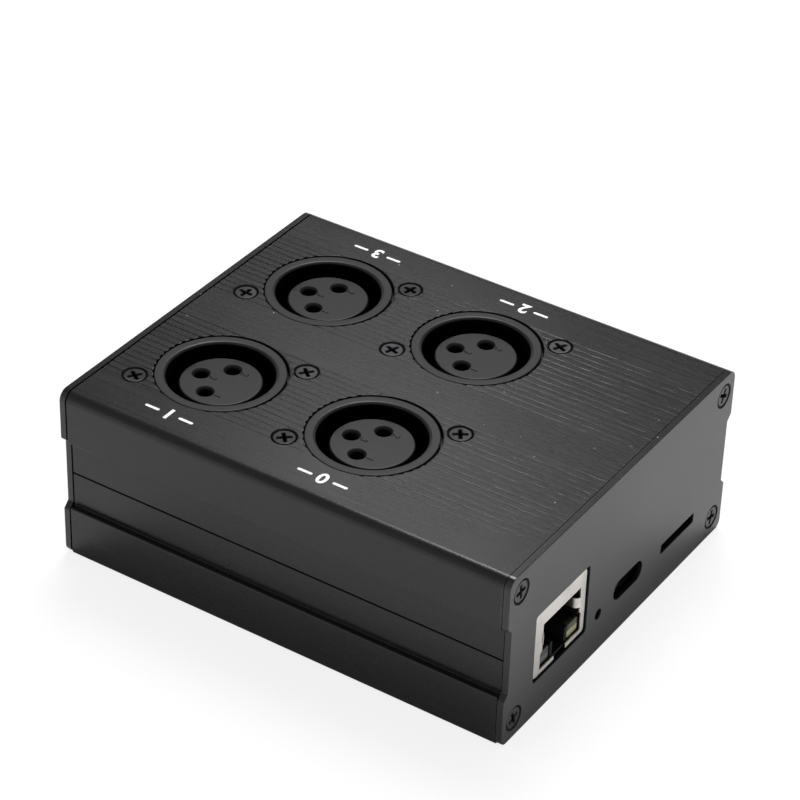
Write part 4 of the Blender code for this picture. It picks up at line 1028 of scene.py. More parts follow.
def connector_cutters():
    """Cutters for the jack, the small socket, the card slot and the pinhole."""
    jack, usb, card = (middle_of(node).yz for node in ("rj45_shield", "usb_shell", "card_socket"))
    button = middle_of("reset_button").yz
    jack_size = JACK_HIGH - JACK_LOW
    outlines = [
        growing(jack, jack_size.y + 2 * GAP, jack_size.z + 2 * GAP, JACK_WINDOW_CORNER),
        growing(usb, *SMALL_WINDOW),
        growing(card, *CARD_WINDOW),
        lambda grow: circle(button, PINHOLE_RADIUS + grow, HOLE_STEPS),
    ]
    return [through_cutter(outline) for outline in outlines]


# Sockets


def housing_mesh(sockets):
    """Collar, barrel, flange and screw bosses of a round socket, with z = 0 at the roof's face."""
    step = -FLANGE_DROP - FLANGE_THICKNESS / 2
    rear = BORE_RADIUS + SHOULDER_WIDTH
    draft, soft = COLLAR_RADIUS - BARREL_RADIUS, 0.15 * MM
    corners = [(BORE_RADIUS, 0, sockets.collar_lip), (COLLAR_RADIUS, 0, sockets.collar_edge)]
    corners += [(COLLAR_RADIUS, step, 0), (BARREL_RADIUS, step - draft, 0)]
    corners += [(BARREL_RADIUS, SOCKET_BOTTOM, draft), (rear, SOCKET_BOTTOM, 0)]
    corners += [(rear, -SHOULDER_DEPTH, 0), (BORE_RADIUS, -SHOULDER_DEPTH, soft)]
    body = turned("housing", filleted(corners), ROUND_STEPS)
    low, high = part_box("socket_0_housing")
    plate = rounded_rectangle((0, 0), high.x - low.x, high.y - low.y, FLANGE_CORNER)
    flange = prism("flange", plate, -FLANGE_DROP - FLANGE_THICKNESS, -FLANGE_DROP)
    dx, dy = (middle_of("socket_0_screw_a") - middle_of("socket_0_housing")).xy
    boss = prism("boss", circle((0, 0), BOSS_RADIUS, HOLE_STEPS), -BOSS_DEPTH, step)
    bosses = gathered("bosses", [(boss, at(dx, dy, 0)), (boss, at(-dx, -dy, 0))])
    bore_ring = circle((0, 0), BORE_RADIUS + BORE_RELIEF, ROUND_STEPS)
    bore = prism("bore", bore_ring, -SHOULDER_DEPTH, GAP - FLANGE_DROP)
    pilot = prism("pilot", circle((0, 0), SCREW_HOLE_RADIUS, SCREW_STEPS), -BOSS_DEPTH - REACH, 0)
    cuts = gathered("cuts", [(bore, HERE), (pilot, at(dx, dy, 0)), (pilot, at(-dx, -dy, 0))])
    housing = carved("housing", body, ("UNION", flange), ("UNION", bosses), ("DIFFERENCE", cuts))
    lip = sockets.collar_lip

    # Painted shade down the bore wall below the collar's lip
    def bore_wall(spot):
        return (-spot.z - lip * 0.35) / (lip * 0.55) if spot.xy.length < BORE_RADIUS + lip else 0

    return mark_hollow(housing, bore_wall)


def insert_mesh(sockets):
    """Contact carrier: a round stem on a wider base, with three holes and an engraved numeral by each."""
    base_top = -SHOULDER_DEPTH - GAP
    base_low = base_top - INSERT_BASE
    base_radius = BORE_RADIUS + SHOULDER_WIDTH - GAP
    corners = [(0, INSERT_TOP, 0), (INSERT_RADIUS, INSERT_TOP, INSERT_EDGE), (INSERT_RADIUS, base_top, 0)]
    corners += [(base_radius, base_top, BASE_EDGE), (base_radius, base_low, BASE_EDGE), (0, base_low, 0)]
    body = turned("insert", filleted(corners), ROUND_STEPS)
    chamfer = sockets.hole_chamfer
    mouth = PIN_HOLE_RADIUS + chamfer
    neck = INSERT_TOP - PIN_HOLE_NECK
    profile = [(0, INSERT_TOP + REACH), (mouth, INSERT_TOP + REACH), (mouth, INSERT_TOP)]
    profile += [(PIN_HOLE_RADIUS + chamfer / 4, INSERT_TOP - chamfer * 0.8)]
    profile += [(PIN_HOLE_RADIUS, INSERT_TOP - chamfer * 1.25), (PIN_HOLE_RADIUS, neck)]
    profile += [(CONTACT_ROOM, neck), (CONTACT_ROOM, base_low - REACH), (0, base_low - REACH)]
    hole = turned("pin_hole", profile, HOLE_STEPS)
    centre = middle_of("socket_0_housing")
    holes, numerals = [], []
    for number in (1, 2, 3):
        spot = middle_of(f"socket_0_contact_{number}") - centre
        holes.append((hole, at(spot.x, spot.y, 0)))
        glyph = glyph_mesh(str(number), sockets.numeral_height, 2 * sockets.numeral_depth)
        turn = Quaternion((0, 0, 1), -math.pi / 2)
        numerals.append((glyph, at(spot.x + NUMERAL_SHIFT, spot.y, INSERT_TOP, turn)))
    insert = carved("insert", body, ("DIFFERENCE", gathered("holes", holes)),
                    ("DIFFERENCE", gathered("numerals", numerals)))

    # Painted shade down the pin holes and on the stem's side below its top edge
    def deep_wall(spot):
        depth = INSERT_TOP - spot.z
        inside = spot.xy.length < INSERT_RADIUS - GAP
        return depth / (chamfer * 1.6) if inside else (depth - 0.35 * MM) / (0.5 * MM)

    return mark_hollow(insert, deep_wall)


def contact_mesh(top, low, seat_low):
    """Split turned sleeve with a lead-in and a solder tail, about the socket's axis."""
    sleeve, bore, tail = 1.5 * MM, 1.15 * MM, 0.45 * MM
    lead, lead_width, slit_width, depth = 0.35 * MM, 0.2 * MM, 0.25 * MM, 6.0 * MM
    shoulder = seat_low + 1.0 * MM
    bore_foot = shoulder + depth
    slit_foot = top - depth
    corners = [(0, bore_foot, 0), (bore, bore_foot, 0), (bore, top - lead, 0)]
    corners += [(bore + lead_width, top, 0), (sleeve, top, 0.1 * MM), (sleeve, shoulder, 0.2 * MM)]
    corners += [(tail, shoulder, 0), (tail, low, 0.15 * MM), (0, low, 0)]
    body = turned("contact", filleted(corners), SCREW_STEPS)
    slot = rounded_rectangle((0, 0), 2 * sleeve + REACH, slit_width, 0.1 * MM)
    slit = prism("slit", slot, slit_foot, top + REACH)
    return carved("contact", body, ("DIFFERENCE", slit))


# Screws


def cross_outline(width, reach, grow):
    """Cross with rounded arm ends, grown by a size."""
    near, far = width / 2 + grow, reach + grow
    quarter = [(far, -near, near * 0.5), (far, near, near * 0.5), (near, near, 0)]
    turns = ((1, 0), (0, 1), (-1, 0), (0, -1))
    return filleted([(x * c - y * s, x * s + y * c, r) for c, s in turns for x, y, r in quarter])


def screw_mesh(screws, shank_radius, length):
    """Countersunk screw along Z with a cross recess and a thread; its head's top is at z = 0."""
    neck = -(HEAD_RADIUS - shank_radius)
    head = filleted([(0, 0, 0), (HEAD_RADIUS, 0, 0.14 * MM), (shank_radius, neck, 0), (0, neck, 0)])
    rings = [(lambda angle, r=r: r, z) for r, z in head[1:-1]]
    pitch, depth = screws.thread_pitch, screws.thread_depth
    first, last = neck - pitch / 2, SCREW_TIP - length
    count = round((first - last) / pitch * 4)
    for j in range(count + 1):
        z = first + (last - first) * j / count

        def ridge(angle, z=z):
            phase = (z / pitch + angle / math.tau) % 1.0
            return shank_radius - depth * abs(2 * phase - 1)

        rings.append((ridge, z))
    rings.append((lambda angle: shank_radius - SCREW_TIP, -length))
    angles = [math.tau * i / SCREW_STEPS for i in range(SCREW_STEPS)]
    body = lofted("screw", [[(radius(a) * math.cos(a), radius(a) * math.sin(a), z) for a in angles]
                            for radius, z in rings])
    width, reach, deep = screws.recess_width, screws.recess_reach, screws.recess_depth
    steps = [(REACH, 0.1), (0.0, 0.1), (-0.05 * MM, 0.03), (-0.1 * MM, 0.0)]
    steps += [(-deep * 0.6, -0.08), (-deep, -0.2)]
    sections = [(cross_outline(width, reach, grow * MM), z) for z, grow in steps]
    recess = lofted("recess", [[(x, y, z) for x, y in outline] for outline, z in sections])
    screw = carved("screw", body, ("DIFFERENCE", recess))

    # Painted shade down the cross recess
    def recess_wall(spot):
        inside = spot.xy.length < HEAD_RADIUS + spot.z - 0.1 * MM and spot.z > -deep - 0.01 * MM
        return (-spot.z - 0.06 * MM) / (0.12 * MM) if inside else 0

    return mark_hollow(screw, recess_wall)


def geometry_tree(name, inputs):
    """Geometry tree with a geometry input and output and named inputs: the graph and its two end nodes."""
    tree = bpy.data.node_groups.new(name, "GeometryNodeTree")
    tree.interface.new_socket(name="Geometry", in_out="INPUT", socket_type="NodeSocketGeometry")
    for label, kind in inputs:
        tree.interface.new_socket(name=label, in_out="INPUT", socket_type="NodeSocket" + kind)
    tree.interface.new_socket(name="Geometry", in_out="OUTPUT", socket_type="NodeSocketGeometry")
    graph = Graph(tree)
    return graph, graph.add("NodeGroupInput").outputs, graph.add("NodeGroupOutput").inputs


def finish_tree(graph, instances, given, gives):
    """Ends a geometry tree: the instances made real, with the tree's material on them."""
    real = graph.add("GeometryNodeRealizeInstances", {"Geometry": instances}).outputs[0]
    painted = graph.add("GeometryNodeSetMaterial", {"Geometry": real, "Material": given["Material"]})
    graph.feed(gives["Geometry"], painted.outputs[0])


def screws_tree():
    """One screw on every point, turned by the point's own angles and sunk along its axis."""
    inputs = [("Screw", "Object"), ("Head Sink", "Float"), ("Material", "Material")]
    graph, given, gives = geometry_tree("screws_on_points", inputs)
    screw = graph.add("GeometryNodeObjectInfo", {"Object": given["Screw"]})
    turn = graph.add("GeometryNodeInputNamedAttribute", {"Name": "turn"}, data_type="FLOAT_VECTOR")
    spin = graph.add("FunctionNodeEulerToRotation", {0: turn.outputs["Attribute"]})
    on_points = {"Points": given["Geometry"], "Instance": screw.outputs["Geometry"],
                 "Rotation": spin.outputs[0]}
    placed = graph.add("GeometryNodeInstanceOnPoints", on_points).outputs[0]
    drop = graph.times(given["Head Sink"], -1.0)
    down = graph.add("ShaderNodeCombineXYZ", {"Z": drop}).outputs[0]
    sunk = graph.add("GeometryNodeTranslateInstances", {"Instances": placed, "Translation": down})
    finish_tree(graph, sunk.outputs[0], given, gives)
    return graph.tree


def run_tree(tree, data, values):
    """Mesh that a geometry tree makes of some data, with its inputs given by name."""
    item = bpy.data.objects.new("worked", data)
    modifier = item.modifiers.new("Geometry Nodes", "NODES")
    modifier.node_group = tree
    for socket in tree.interface.items_tree:
        if socket.in_out == "INPUT" and socket.name in values:
            modifier[socket.identifier] = values[socket.name]
    bpy.context.scene.collection.objects.link(item)
    mesh = evaluated_mesh(item)
    bpy.data.objects.remove(item, do_unlink=True)
    if not mesh.polygons:
        raise RuntimeError(f"{tree.name} made nothing")
    return mesh


def put_screws(name, tree, screw, nodes, places, turns):
    """Adds like screws at the given places, each turned by its own angles, for the frame's own."""
    points = bpy.data.meshes.new("screw_points")
    points.from_pydata(places, [], [])
    turn = points.attributes.new("turn", "FLOAT_VECTOR", "POINT")
    for spot, angles in zip(turn.data, turns):
        spot.vector = angles
    template = shown("screw_template", screw)
    values = {"Screw": template, "Head Sink": HEAD_SINK, "Material": finish("screw")}
    mesh = run_tree(tree, points, values)
    bpy.data.objects.remove(template, do_unlink=True)
    mesh.materials.clear()
    put(name, mesh, ["screw"], nodes)


# Ports


def mouth_outline(grow):
    """Plug mouth of the jack: a window, wider at the lamps, with the latch notch below."""
    latch = LATCH_HALF + grow
    edge = MOUTH_HALF + grow
    wide = edge + LAMP_MARGIN
    lamp_top = MOUTH_FLOOR + LAMP_HEIGHT + 0.4 * MM
    soft = 0.15 * MM
    right = [(latch, JACK_LOW.z - REACH, 0), (latch, MOUTH_FLOOR - grow, soft)]
    right += [(wide, MOUTH_FLOOR - grow, soft), (wide, lamp_top, soft)]
    right += [(edge, lamp_top + LAMP_MARGIN, soft), (edge, MOUTH_ROOF + grow, soft)]
    whole = right + [(-y, z, r) for y, z, r in reversed(right)]
    return [(MOUTH_CENTRE + y, z) for y, z in filleted(whole)]


def two_slots(name, first, second):
    """One mesh of two, whose faces use the first and the second material slot."""
    bm = bmesh.new()
    bm.from_mesh(first)
    first_faces = len(bm.faces)
    bm.from_mesh(second)
    for index, face in enumerate(bm.faces):
        face.material_index = int(index >= first_faces)
    return mesh_from(name, bm)


def finger_mesh(side):
    """Spring finger: a strip from the frame's edge that curls in and runs back beside the plug."""
    root = MOUTH_HALF + 0.25 * MM
    bend = FINGER_BEND
    front = JACK_HIGH.x
    path = [(front - 0.02 * MM, root)] + arc((front - 0.05 * MM - bend, root), bend, 0, -90, 8)
    path += [(front - 4.0 * MM, root - bend * 0.85), (front - 6.5 * MM, root - bend * 0.1)]
    outer, inner = [], []
    for i, spot in enumerate(path):
        before, after = Vector(path[max(i - 1, 0)]), Vector(path[min(i + 1, len(path) - 1)])
        along = (after - before).normalized()
        across = Vector((-along.y, along.x)) * JACK_SHEET / 2
        outer.append(Vector(spot) + across)
        inner.append(Vector(spot) - across)
    strip = [(x, MOUTH_CENTRE + side * y) for x, y in outer + inner[::-1]]
    return prism("finger", strip, FINGER_LOW, FINGER_LOW + FINGER_WIDTH)


def shield_mesh():
    """Folded sheet round the jack: softly bent front, plug mouth, open foot and two spring fingers."""
    centre = ((JACK_LOW.y + JACK_HIGH.y) / 2, (JACK_LOW.z + JACK_HIGH.z) / 2)
    size = JACK_HIGH - JACK_LOW
    fold, rounding, skin = 0.25 * MM, 0.08 * MM, JACK_SHEET
    bend = [(JACK_LOW.x, 0.0)] + arc((JACK_HIGH.x - fold, -fold), fold, 90, 0, 4)
    blank = stepped("shield", growing(centre, size.y, size.z, JACK_CORNER), bend)
    low_centre = (centre[0], centre[1] - skin / 2 - REACH / 2)
    room = rounded_rectangle(low_centre, size.y - 2 * skin, size.z - skin + REACH, JACK_CORNER - skin)
    hollow = prism("hollow", room, JACK_LOW.x + skin, JACK_HIGH.x - skin, "X")
    front = JACK_HIGH.x
    mouth_steps = [(front + REACH, rounding), (front, rounding), (front - rounding / 2, rounding / 4),
                   (front - rounding, 0.0), (front - REACH, 0.0)]
    mouth = stepped("mouth", mouth_outline, mouth_steps)
    sheet = carved("shield", blank, ("DIFFERENCE", hollow), ("DIFFERENCE", mouth))
    return gathered("shield", [(mesh, HERE) for mesh in (sheet, finger_mesh(1), finger_mesh(-1))])


def wires_tree():
    """A row of round wires that follow one drawn path."""
    inputs = [("Count", "Int"), ("Pitch", "Float"), ("Radius", "Float"), ("Material", "Material")]
    graph, given, gives = geometry_tree("wires_in_row", inputs)
    path = graph.add("GeometryNodeMeshToCurve", {"Mesh": given["Geometry"]}).outputs[0]
    bends = {"Curve": path, "Radius": WIRE_BEND, "Count": 5}
    bent = graph.add("GeometryNodeFilletCurve", bends, mode="POLY").outputs[0]
    round_wire = {"Resolution": 10, "Radius": given["Radius"]}
    ring = graph.add("GeometryNodeCurvePrimitiveCircle", round_wire).outputs[0]
    swept = {"Curve": bent, "Profile Curve": ring, "Fill Caps": True}
    wire = graph.add("GeometryNodeCurveToMesh", swept).outputs[0]
    gaps = graph.math("SUBTRACT", given["Count"], 1.0)
    first = graph.times(gaps, graph.times(given["Pitch"], -0.5))
    start = graph.add("ShaderNodeCombineXYZ", {"Y": first}).outputs[0]
    step = graph.add("ShaderNodeCombineXYZ", {"Y": given["Pitch"]}).outputs[0]
    spaced = {"Count": given["Count"], "Start Location": start, "Offset": step}
    line = graph.add("GeometryNodeMeshLine", spaced).outputs[0]
    row = graph.add("GeometryNodeInstanceOnPoints", {"Points": line, "Instance": wire})
    finish_tree(graph, row.outputs[0], given, gives)
    return graph.tree


def path_mesh(points):
    """Open line through points, as edges."""
    mesh = bpy.data.meshes.new("path")
    mesh.from_pydata(points, [(i, i + 1) for i in range(len(points) - 1)], [])
    return mesh


def contact_block_mesh(ports, gold):
    """Carrier at the back of the jack (first slot) with its row of spring wires (second slot)."""
    low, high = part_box("rj45_contact_block")
    front = JACK_HIGH.x - WIRE_FRONT
    root = JACK_LOW.x + CARRIER_DEPTH
    middle = ((low.x + root) / 2, MOUTH_CENTRE)
    foot = rounded_rectangle(middle, root - low.x, high.y - low.y, MOULDED_CORNER)
    block = prism("carrier", foot, low.z, high.z)
    top = high.z - WIRE_BEND
    bends = [(root - GAP, top), (front, top), (front - WIRE_SLOPE, top - WIRE_BEND),
             (root + WIRE_END_BEFORE, MOUTH_ROOF - WIRE_END_UNDER)]
    path = path_mesh([(x, MOUTH_CENTRE, z) for x, z in bends])
    values = {"Count": ports.wire_count, "Pitch": ports.wire_pitch, "Radius": ports.wire_radius,
              "Material": gold}
    wires = run_tree(wires_tree(), path, values)
    return two_slots("contact_block", block, wires)


def lens_mesh(node):
    """Lamp window with a softly domed front (first slot) on its black housing (second slot)."""
    low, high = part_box(node)
    window_back = high.x - LAMP_DEPTH
    centre = (low.yz + high.yz) / 2
    width, height = high.yz - low.yz
    steps = [(window_back, 0.0)] + arc((high.x - LAMP_DOME, -LAMP_DOME), LAMP_DOME, 90, 0, 4)
    window = stepped("window", growing(centre, width, height, LAMP_CORNER), steps)
    back = rounded_rectangle(centre, width, height, MOULDED_CORNER)
    body = prism("body", back, low.x, window_back, "X")
    return two_slots("lens", window, body)


def usb_ring(inset):
    """Stadium of the small socket's shell, drawn in by an inset."""
    low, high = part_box("usb_shell")
    width, height = high.y - low.y - 2 * inset, high.z - low.z - 2 * inset
    return rounded_rectangle(((low.y + high.y) / 2, (low.z + high.z) / 2), width, height, height * 0.49)


def usb_shell_mesh():
    """Drawn shell of the small socket, with a rolled lip."""
    low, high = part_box("usb_shell")
    sheet = SMALL_SHEET
    lip = sheet / 2
    steps = [(low.x, 0.0)] + arc((high.x - lip, lip), lip, -90, 90, 6) + [(low.x + sheet, sheet)]
    return stepped("usb_shell", usb_ring, steps)


def usb_tongue_mesh(ports):
    """Tongue on its base (first slot), with a row of contact pads above and below (second slot)."""
    low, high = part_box("usb_tongue")
    middle = (low + high) / 2
    inset = 0.5 * MM
    base = prism("base", usb_ring(inset), low.x, low.x + TONGUE_BASE, "X")
    half_wide, half_thick = TONGUE_WIDTH / 2, TONGUE_HALF
    blade = rounded_rectangle((middle.y, middle.z), TONGUE_WIDTH, 2 * half_thick, 0.12 * MM)
    steps = [(low.x + TONGUE_BASE / 2, 0.0), (high.x - 0.15 * MM, 0.0), (high.x, -0.1 * MM)]
    tongue = lofted("tongue", [[(x, middle.y + (y - middle.y) * (1 + grow / half_wide),
                                 middle.z + (z - middle.z) * (1 + grow / half_thick)) for y, z in blade]
                               for x, grow in steps])
    solid = carved("usb_tongue", base, ("UNION", tongue))
    pad = prism("pad", rounded_rectangle((0, 0), *PAD_SIZE), 0, PAD_HEIGHT)
    turn_over = Quaternion((1, 0, 0), math.pi)
    x = high.x - PAD_INSET
    parts = []
    for i in range(ports.pad_count):
        y = middle.y + (i - (ports.pad_count - 1) / 2) * ports.pad_pitch
        parts.append((pad, at(x, y, middle.z + half_thick)))
        parts.append((pad, at(x, y, middle.z - half_thick, turn_over)))
    return two_slots("usb_tongue", solid, gathered("pads", parts))


# Stage


def camera_turn(stage):
    """Rotation of the camera, from its angles round and above the box and its roll."""
    flat = math.cos(stage.elevation)
    x, y = -math.sin(stage.azimuth) * flat, math.cos(stage.azimuth) * flat
    sight = Vector((x, y, -math.sin(stage.elevation)))
    return sight.to_track_quat("-Z", "Y") @ Quaternion((0, 0, 1), stage.roll)


def floor_material(stage):
    """Pale matt floor that shows white under the box's shadow, but is clear from below and to the base."""
    material, graph, surface, place = new_material("pale_floor")
    grain = use_group(graph, "blasted_grain", Vector=place, Scale=900.0)
    tint = stage.floor_tint
    graph.feed(surface.inputs["Base Color"], graph.mix(grain["Tone"], shade(tint, 0.99), shade(tint, 1.01)))
    surface.inputs["Roughness"].default_value = 0.9
    surface.inputs["Specular IOR Level"].default_value = 0.1
    path = graph.add("ShaderNodeLightPath").outputs
    white = graph.add("ShaderNodeEmission", {"Strength": 1.04})
    lift = graph.times(path["Is Camera Ray"], 0.8)
    lit = graph.add("ShaderNodeMixShader", {0: lift, 1: surface.outputs[0], 2: white.outputs[0]})
    clear = graph.add("ShaderNodeBsdfTransparent")
    behind = graph.add("ShaderNodeNewGeometry").outputs["Backfacing"]
    touching = graph.math("LESS_THAN", path["Ray Length"], FLOOR_CLEAR)
    unseen = graph.math("MAXIMUM", behind, touching)
    both = graph.add("ShaderNodeMixShader", {0: unseen, 1: lit.outputs[0], 2: clear.outputs[0]})
    graph.feed(material.node_tree.nodes["Material Output"].inputs["Surface"], both.outputs[0])
    return material


def studio_world(stage):
    """World that is white to the camera, dim overhead to glossy surfaces and a rear fill to matt ones."""
    world = bpy.data.worlds.new("studio")
    world.use_nodes = True
    graph = Graph(world.node_tree)
    backdrop = world.node_tree.nodes["Background"]
    direction = graph.add("ShaderNodeTexCoord").outputs["Generated"]
    height = graph.add("ShaderNodeSeparateXYZ", {0: direction}).outputs["Z"]
    rearward = graph.vector("DOT_PRODUCT", direction, (-0.44, 0.69, 0.57))
    overhead = graph.span(rearward, -0.3, 0.5, 0.5, 0.13)
    seen = graph.span(height, 0.05, 0.36, 1.0, overhead, smooth=True)
    fill = graph.span(rearward, -0.6, 0.9, stage.front_fill, stage.rear_fill)
    path = graph.add("ShaderNodeLightPath").outputs
    mirrored_ray = graph.math("MAXIMUM", path["Is Glossy Ray"], path["Is Transmission Ray"])
    level = graph.times(graph.math("SUBTRACT", seen, fill), mirrored_ray, fill)
    graph.feed(backdrop.inputs["Strength"], graph.math("MAXIMUM", level, path["Is Camera Ray"]))
    backdrop.inputs["Color"].default_value = (1.0, 1.0, 1.0, 1.0)
    return world


def softbox(name, place, aim, side, power):
    """Square soft lamp that shines from a place towards a point."""
    lamp = bpy.data.lights.new(name, "AREA")
    lamp.shape = "SQUARE"
    lamp.size = side
    lamp.energy = power
    item = shown(name, lamp)
    item.location = place
    item.rotation_euler = (Vector(aim) - Vector(place)).to_track_quat("-Z", "Y").to_euler()
    item.visible_camera = False
    return item


# Operators


class INTERFACEBOX_OT_finishes(bpy.types.Operator):
    """Make the shader groups and the materials of every finish"""

    bl_idname = "interface_box.finishes"
    bl_label = "Finishes"

    def execute(self, context):
        make_groups()
        for name, material in make_materials(context.scene).items():
            material["finish"] = name
        return {"FINISHED"}


class INTERFACEBOX_OT_case(bpy.types.Operator):
    """Build the two extruded covers"""

    bl_idname = "interface_box.case"
    bl_label = "Case"

    def execute(self, context):
        case = context.scene.box_case
        put("top_shell", top_cover_mesh(case), ["case"], ["top_cover"])
        base = prism("base_shell", bottom_outline(case), COVER_START, COVER_END, "X")
        put("base_shell", base, ["case"], ["bottom_cover"])
        return {"FINISHED"}


class INTERFACEBOX_OT_end_plates(bpy.types.Operator):
    """Build the connector plate and the blank plate"""

    bl_idname = "interface_box.end_plates"
    bl_label = "End Plates"

    def execute(self, context):
        case = context.scene.box_case
        front = plate_mesh("connector_plate", 1, case, connector_cutters())
        put("connector_plate", front, ["connector_plate"], ["connector_end_plate"])
        back = plate_mesh("blank_plate", -1, case)
        put("blank_plate", back, ["blank_plate"], ["blank_end_plate"])
        return {"FINISHED"}


class INTERFACEBOX_OT_sockets(bpy.types.Operator):
    """Build the four round sockets with their inserts"""

    bl_idname = "interface_box.sockets"
    bl_label = "Round Sockets"

    def execute(self, context):
        sockets = context.scene.box_sockets
        housing, insert = housing_mesh(sockets), insert_mesh(sockets)
        for number in range(4):
            centre = middle_of(f"socket_{number}_housing")
            for word, mesh in (("housing", housing), ("insert", insert)):
                copy = mesh.copy()
                copy.transform(at(centre.x, centre.y, CASE_HEIGHT))
                node = f"socket_{number}_{word}"
                put(node + "_finished", copy, ["socket"], [node])
        nodes = [f"socket_{number}_contact_{pin}" for number in range(4) for pin in (1, 2, 3)]
        low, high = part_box(nodes[0])
        contact = contact_mesh(high.z - CONTACT_SINK, low.z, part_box("socket_0_insert")[0].z)
        places = [(contact, at(middle_of(node).x, middle_of(node).y, 0)) for node in nodes]
        put("socket_contacts", gathered("socket_contacts", places), ["gold"], nodes)
        return {"FINISHED"}


class INTERFACEBOX_OT_screws(bpy.types.Operator):
    """Set the countersunk screws round the sockets and on the end plates"""

    bl_idname = "interface_box.screws"
    bl_label = "Screws"

    def execute(self, context):
        screws = context.scene.box_screws
        tree = screws_tree()
        low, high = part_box("socket_0_screw_a")
        roof_screw = screw_mesh(screws, SHANK_RADIUS, high.z - low.z)
        nodes = [f"socket_{number}_screw_{letter}" for number in range(4) for letter in "ab"]
        spots = [middle_of(node) for node in nodes]
        places = [(spot.x, spot.y, CASE_HEIGHT) for spot in spots]
        turns = [(0, 0, ROOF_SPINS[0] + ROOF_SPINS[1] * i) for i in range(len(nodes))]
        put_screws("socket_screws", tree, roof_screw, nodes, places, turns)
        low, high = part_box("connector_plate_screw_0")
        end_screw = screw_mesh(screws, END_SHANK_RADIUS, high.x - low.x)
        nodes = [f"{word}_plate_screw_{number}" for word in ("connector", "blank") for number in range(4)]
        spots = [middle_of(node) for node in nodes]
        places = [(math.copysign(PLATE_OUTSIDE, spot.x), spot.y, spot.z) for spot in spots]
        turns = [laid_turn(spot.x, END_SPINS[0] + END_SPINS[1] * i) for i, spot in enumerate(spots)]
        put_screws("end_plate_screws", tree, end_screw, nodes, places, turns)
        return {"FINISHED"}


def laid_turn(side, spin):
    """Angles that lay a screw along X, facing out on its side, turned about its own axis."""
    lay = Quaternion((0, 1, 0), math.copysign(math.pi / 2, side))
    return tuple((lay @ Quaternion((0, 0, 1), spin)).to_euler())


class INTERFACEBOX_OT_network_jack(bpy.types.Operator):
    """Build the network jack's shield, lamps and spring wires"""

    bl_idname = "interface_box.network_jack"
    bl_label = "Network Jack"

    def execute(self, context):
        ports = context.scene.box_ports
        put("jack_shield", shield_mesh(), ["shield"], ["rj45_shield"])
        block = contact_block_mesh(ports, finish("gold"))
        put("jack_contacts", block, ["inner", "gold"], ["rj45_contact_block"])
        for side, tint in (("left", "green_lens"), ("right", "yellow_lens")):
            node = f"rj45_led_{side}"
            put(f"jack_lamp_{side}", lens_mesh(node), [tint, "inner"], [node])
        return {"FINISHED"}


class INTERFACEBOX_OT_small_ports(bpy.types.Operator):
    """Build the small socket behind the stadium slot"""

    bl_idname = "interface_box.small_ports"
    bl_label = "Small Ports"

    def execute(self, context):
        ports = context.scene.box_ports
        put("small_socket_shell", usb_shell_mesh(), ["dark_shell"], ["usb_shell"])
        tongue = usb_tongue_mesh(ports)
        put("small_socket_tongue", tongue, ["inner", "gold"], ["usb_tongue"])
        return {"FINISHED"}


class INTERFACEBOX_OT_inner_parts(bpy.types.Operator):
    """Give the frame's own inner parts their finishes"""

    bl_idname = "interface_box.inner_parts"
    bl_label = "Inner Parts"

    def execute(self, context):
        chips = ["processor", "memory_chip", "ethernet_chip", "power_inductor"]
        chips += [f"bus_driver_{number}" for number in range(4)]
        finishes = {name: "chip" for name in chips}
        finishes.update(main_board="board", rj45_housing="inner", card_socket="dark_shell",
                        reset_switch_body="inner", reset_button="button")
        for name, kind in finishes.items():
            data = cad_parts[name].data
            data.materials.clear()
            data.materials.append(finish(kind))
        return {"FINISHED"}


class INTERFACEBOX_OT_markings(bpy.types.Operator):
    """Print a plain digit by each socket"""

    bl_idname = "interface_box.markings"
    bl_label = "Markings"

    def execute(self, context):
        marks = context.scene.box_marks
        bar = rounded_rectangle((0, 0), marks.dash, marks.stroke, 0.25 * MM)
        dash = prism("dash", bar, -marks.ink / 2, marks.ink / 2)
        turn = Quaternion((0, 0, 1), math.pi)
        level = CASE_HEIGHT + marks.ink * 0.4
        reach = marks.height / 2 + marks.dash / 2 + MARK_SPACE
        parts = []
        for number in range(4):
            centre = middle_of(f"socket_{number}_housing")
            x, y = centre.x + MARK_SHIFT, math.copysign(MARK_Y, centre.y)
            digit = glyph_mesh(str(number), marks.height, marks.ink, marks.weight)
            parts.append((digit, at(x, y, level, turn)))
            parts += [(dash, at(x + side * reach, y, level)) for side in (-1, 1)]
        put("printed_digits", gathered("printed_digits", parts), ["ink"])
        return {"FINISHED"}


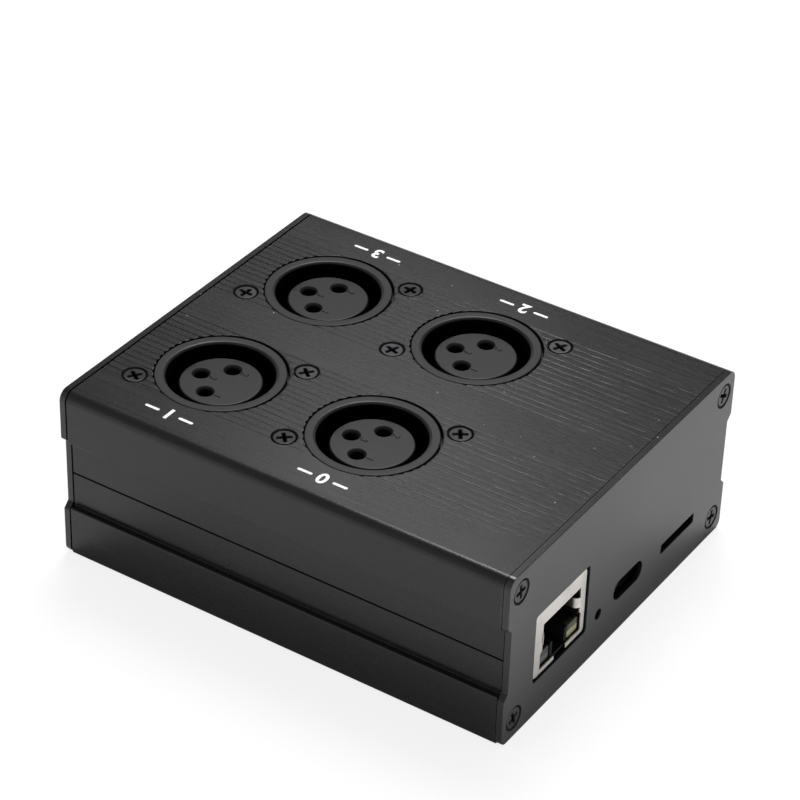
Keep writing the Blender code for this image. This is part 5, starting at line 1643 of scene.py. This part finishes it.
class INTERFACEBOX_OT_stage(bpy.types.Operator):
    """Set up the floor, the soft light and the camera"""

    bl_idname = "interface_box.stage"
    bl_label = "Stage"

    def execute(self, context):
        scene = context.scene
        stage = scene.box_stage
        plane = bpy.data.meshes.new("floor")
        ring = [(x, y, FLOOR_HEIGHT) for x, y in rounded_rectangle((0, 0), FLOOR_SIZE, FLOOR_SIZE, 0.5)]
        plane.from_pydata(ring, [], [range(len(ring))])
        floor = shown("floor", plane)
        plane.materials.append(floor_material(stage))
        scene.world = studio_world(stage)
        softbox("rear_softbox", stage.key_place, KEY_AIM, stage.key_size, stage.key_power)
        softbox("rear_panel", stage.panel_place, PANEL_AIM, stage.panel_size, stage.panel_power)
        camera = bpy.data.cameras.new("camera")
        camera.lens = stage.lens
        camera.clip_start = CAMERA_CLIP
        eye = shown("camera", camera)
        eye.location = stage.camera_place
        eye.rotation_mode = "QUATERNION"
        eye.rotation_quaternion = camera_turn(stage)
        scene.camera = eye
        scene.view_settings.view_transform = "Standard"
        return {"FINISHED"}


class INTERFACEBOX_PT_panel(bpy.types.Panel):
    """Sizes and colours of the box, and a button for each of its groups of pieces"""

    bl_idname = "INTERFACEBOX_PT_panel"
    bl_label = "Interface Box"
    bl_space_type = "VIEW_3D"
    bl_region_type = "UI"
    bl_category = "Interface Box"

    def draw(self, context):
        for name, kind in SETTINGS.items():
            box = self.layout.box()
            for label in kind.__annotations__:
                box.prop(getattr(context.scene, name), label)
        for kind in OPERATORS:
            self.layout.operator(kind.bl_idname)


SETTINGS = {"box_case": CaseSettings, "box_sockets": SocketSettings, "box_screws": ScrewSettings,
            "box_ports": PortSettings, "box_marks": MarkSettings, "box_stage": StageSettings}
OPERATORS = (INTERFACEBOX_OT_finishes, INTERFACEBOX_OT_case, INTERFACEBOX_OT_end_plates,
             INTERFACEBOX_OT_sockets, INTERFACEBOX_OT_screws, INTERFACEBOX_OT_network_jack,
             INTERFACEBOX_OT_small_ports, INTERFACEBOX_OT_inner_parts, INTERFACEBOX_OT_markings,
             INTERFACEBOX_OT_stage)


def register():
    for kind in (*SETTINGS.values(), *OPERATORS, INTERFACEBOX_PT_panel):
        bpy.utils.register_class(kind)
    for name, kind in SETTINGS.items():
        setattr(bpy.types.Scene, name, bpy.props.PointerProperty(type=kind))


def unregister():
    for name in SETTINGS:
        delattr(bpy.types.Scene, name)
    for kind in reversed((*SETTINGS.values(), *OPERATORS, INTERFACEBOX_PT_panel)):
        bpy.utils.unregister_class(kind)


def main():
    register()
    for kind in OPERATORS:
        group, name = kind.bl_idname.split(".")
        getattr(getattr(bpy.ops, group), name)()


if __name__ == "__main__":
    main()
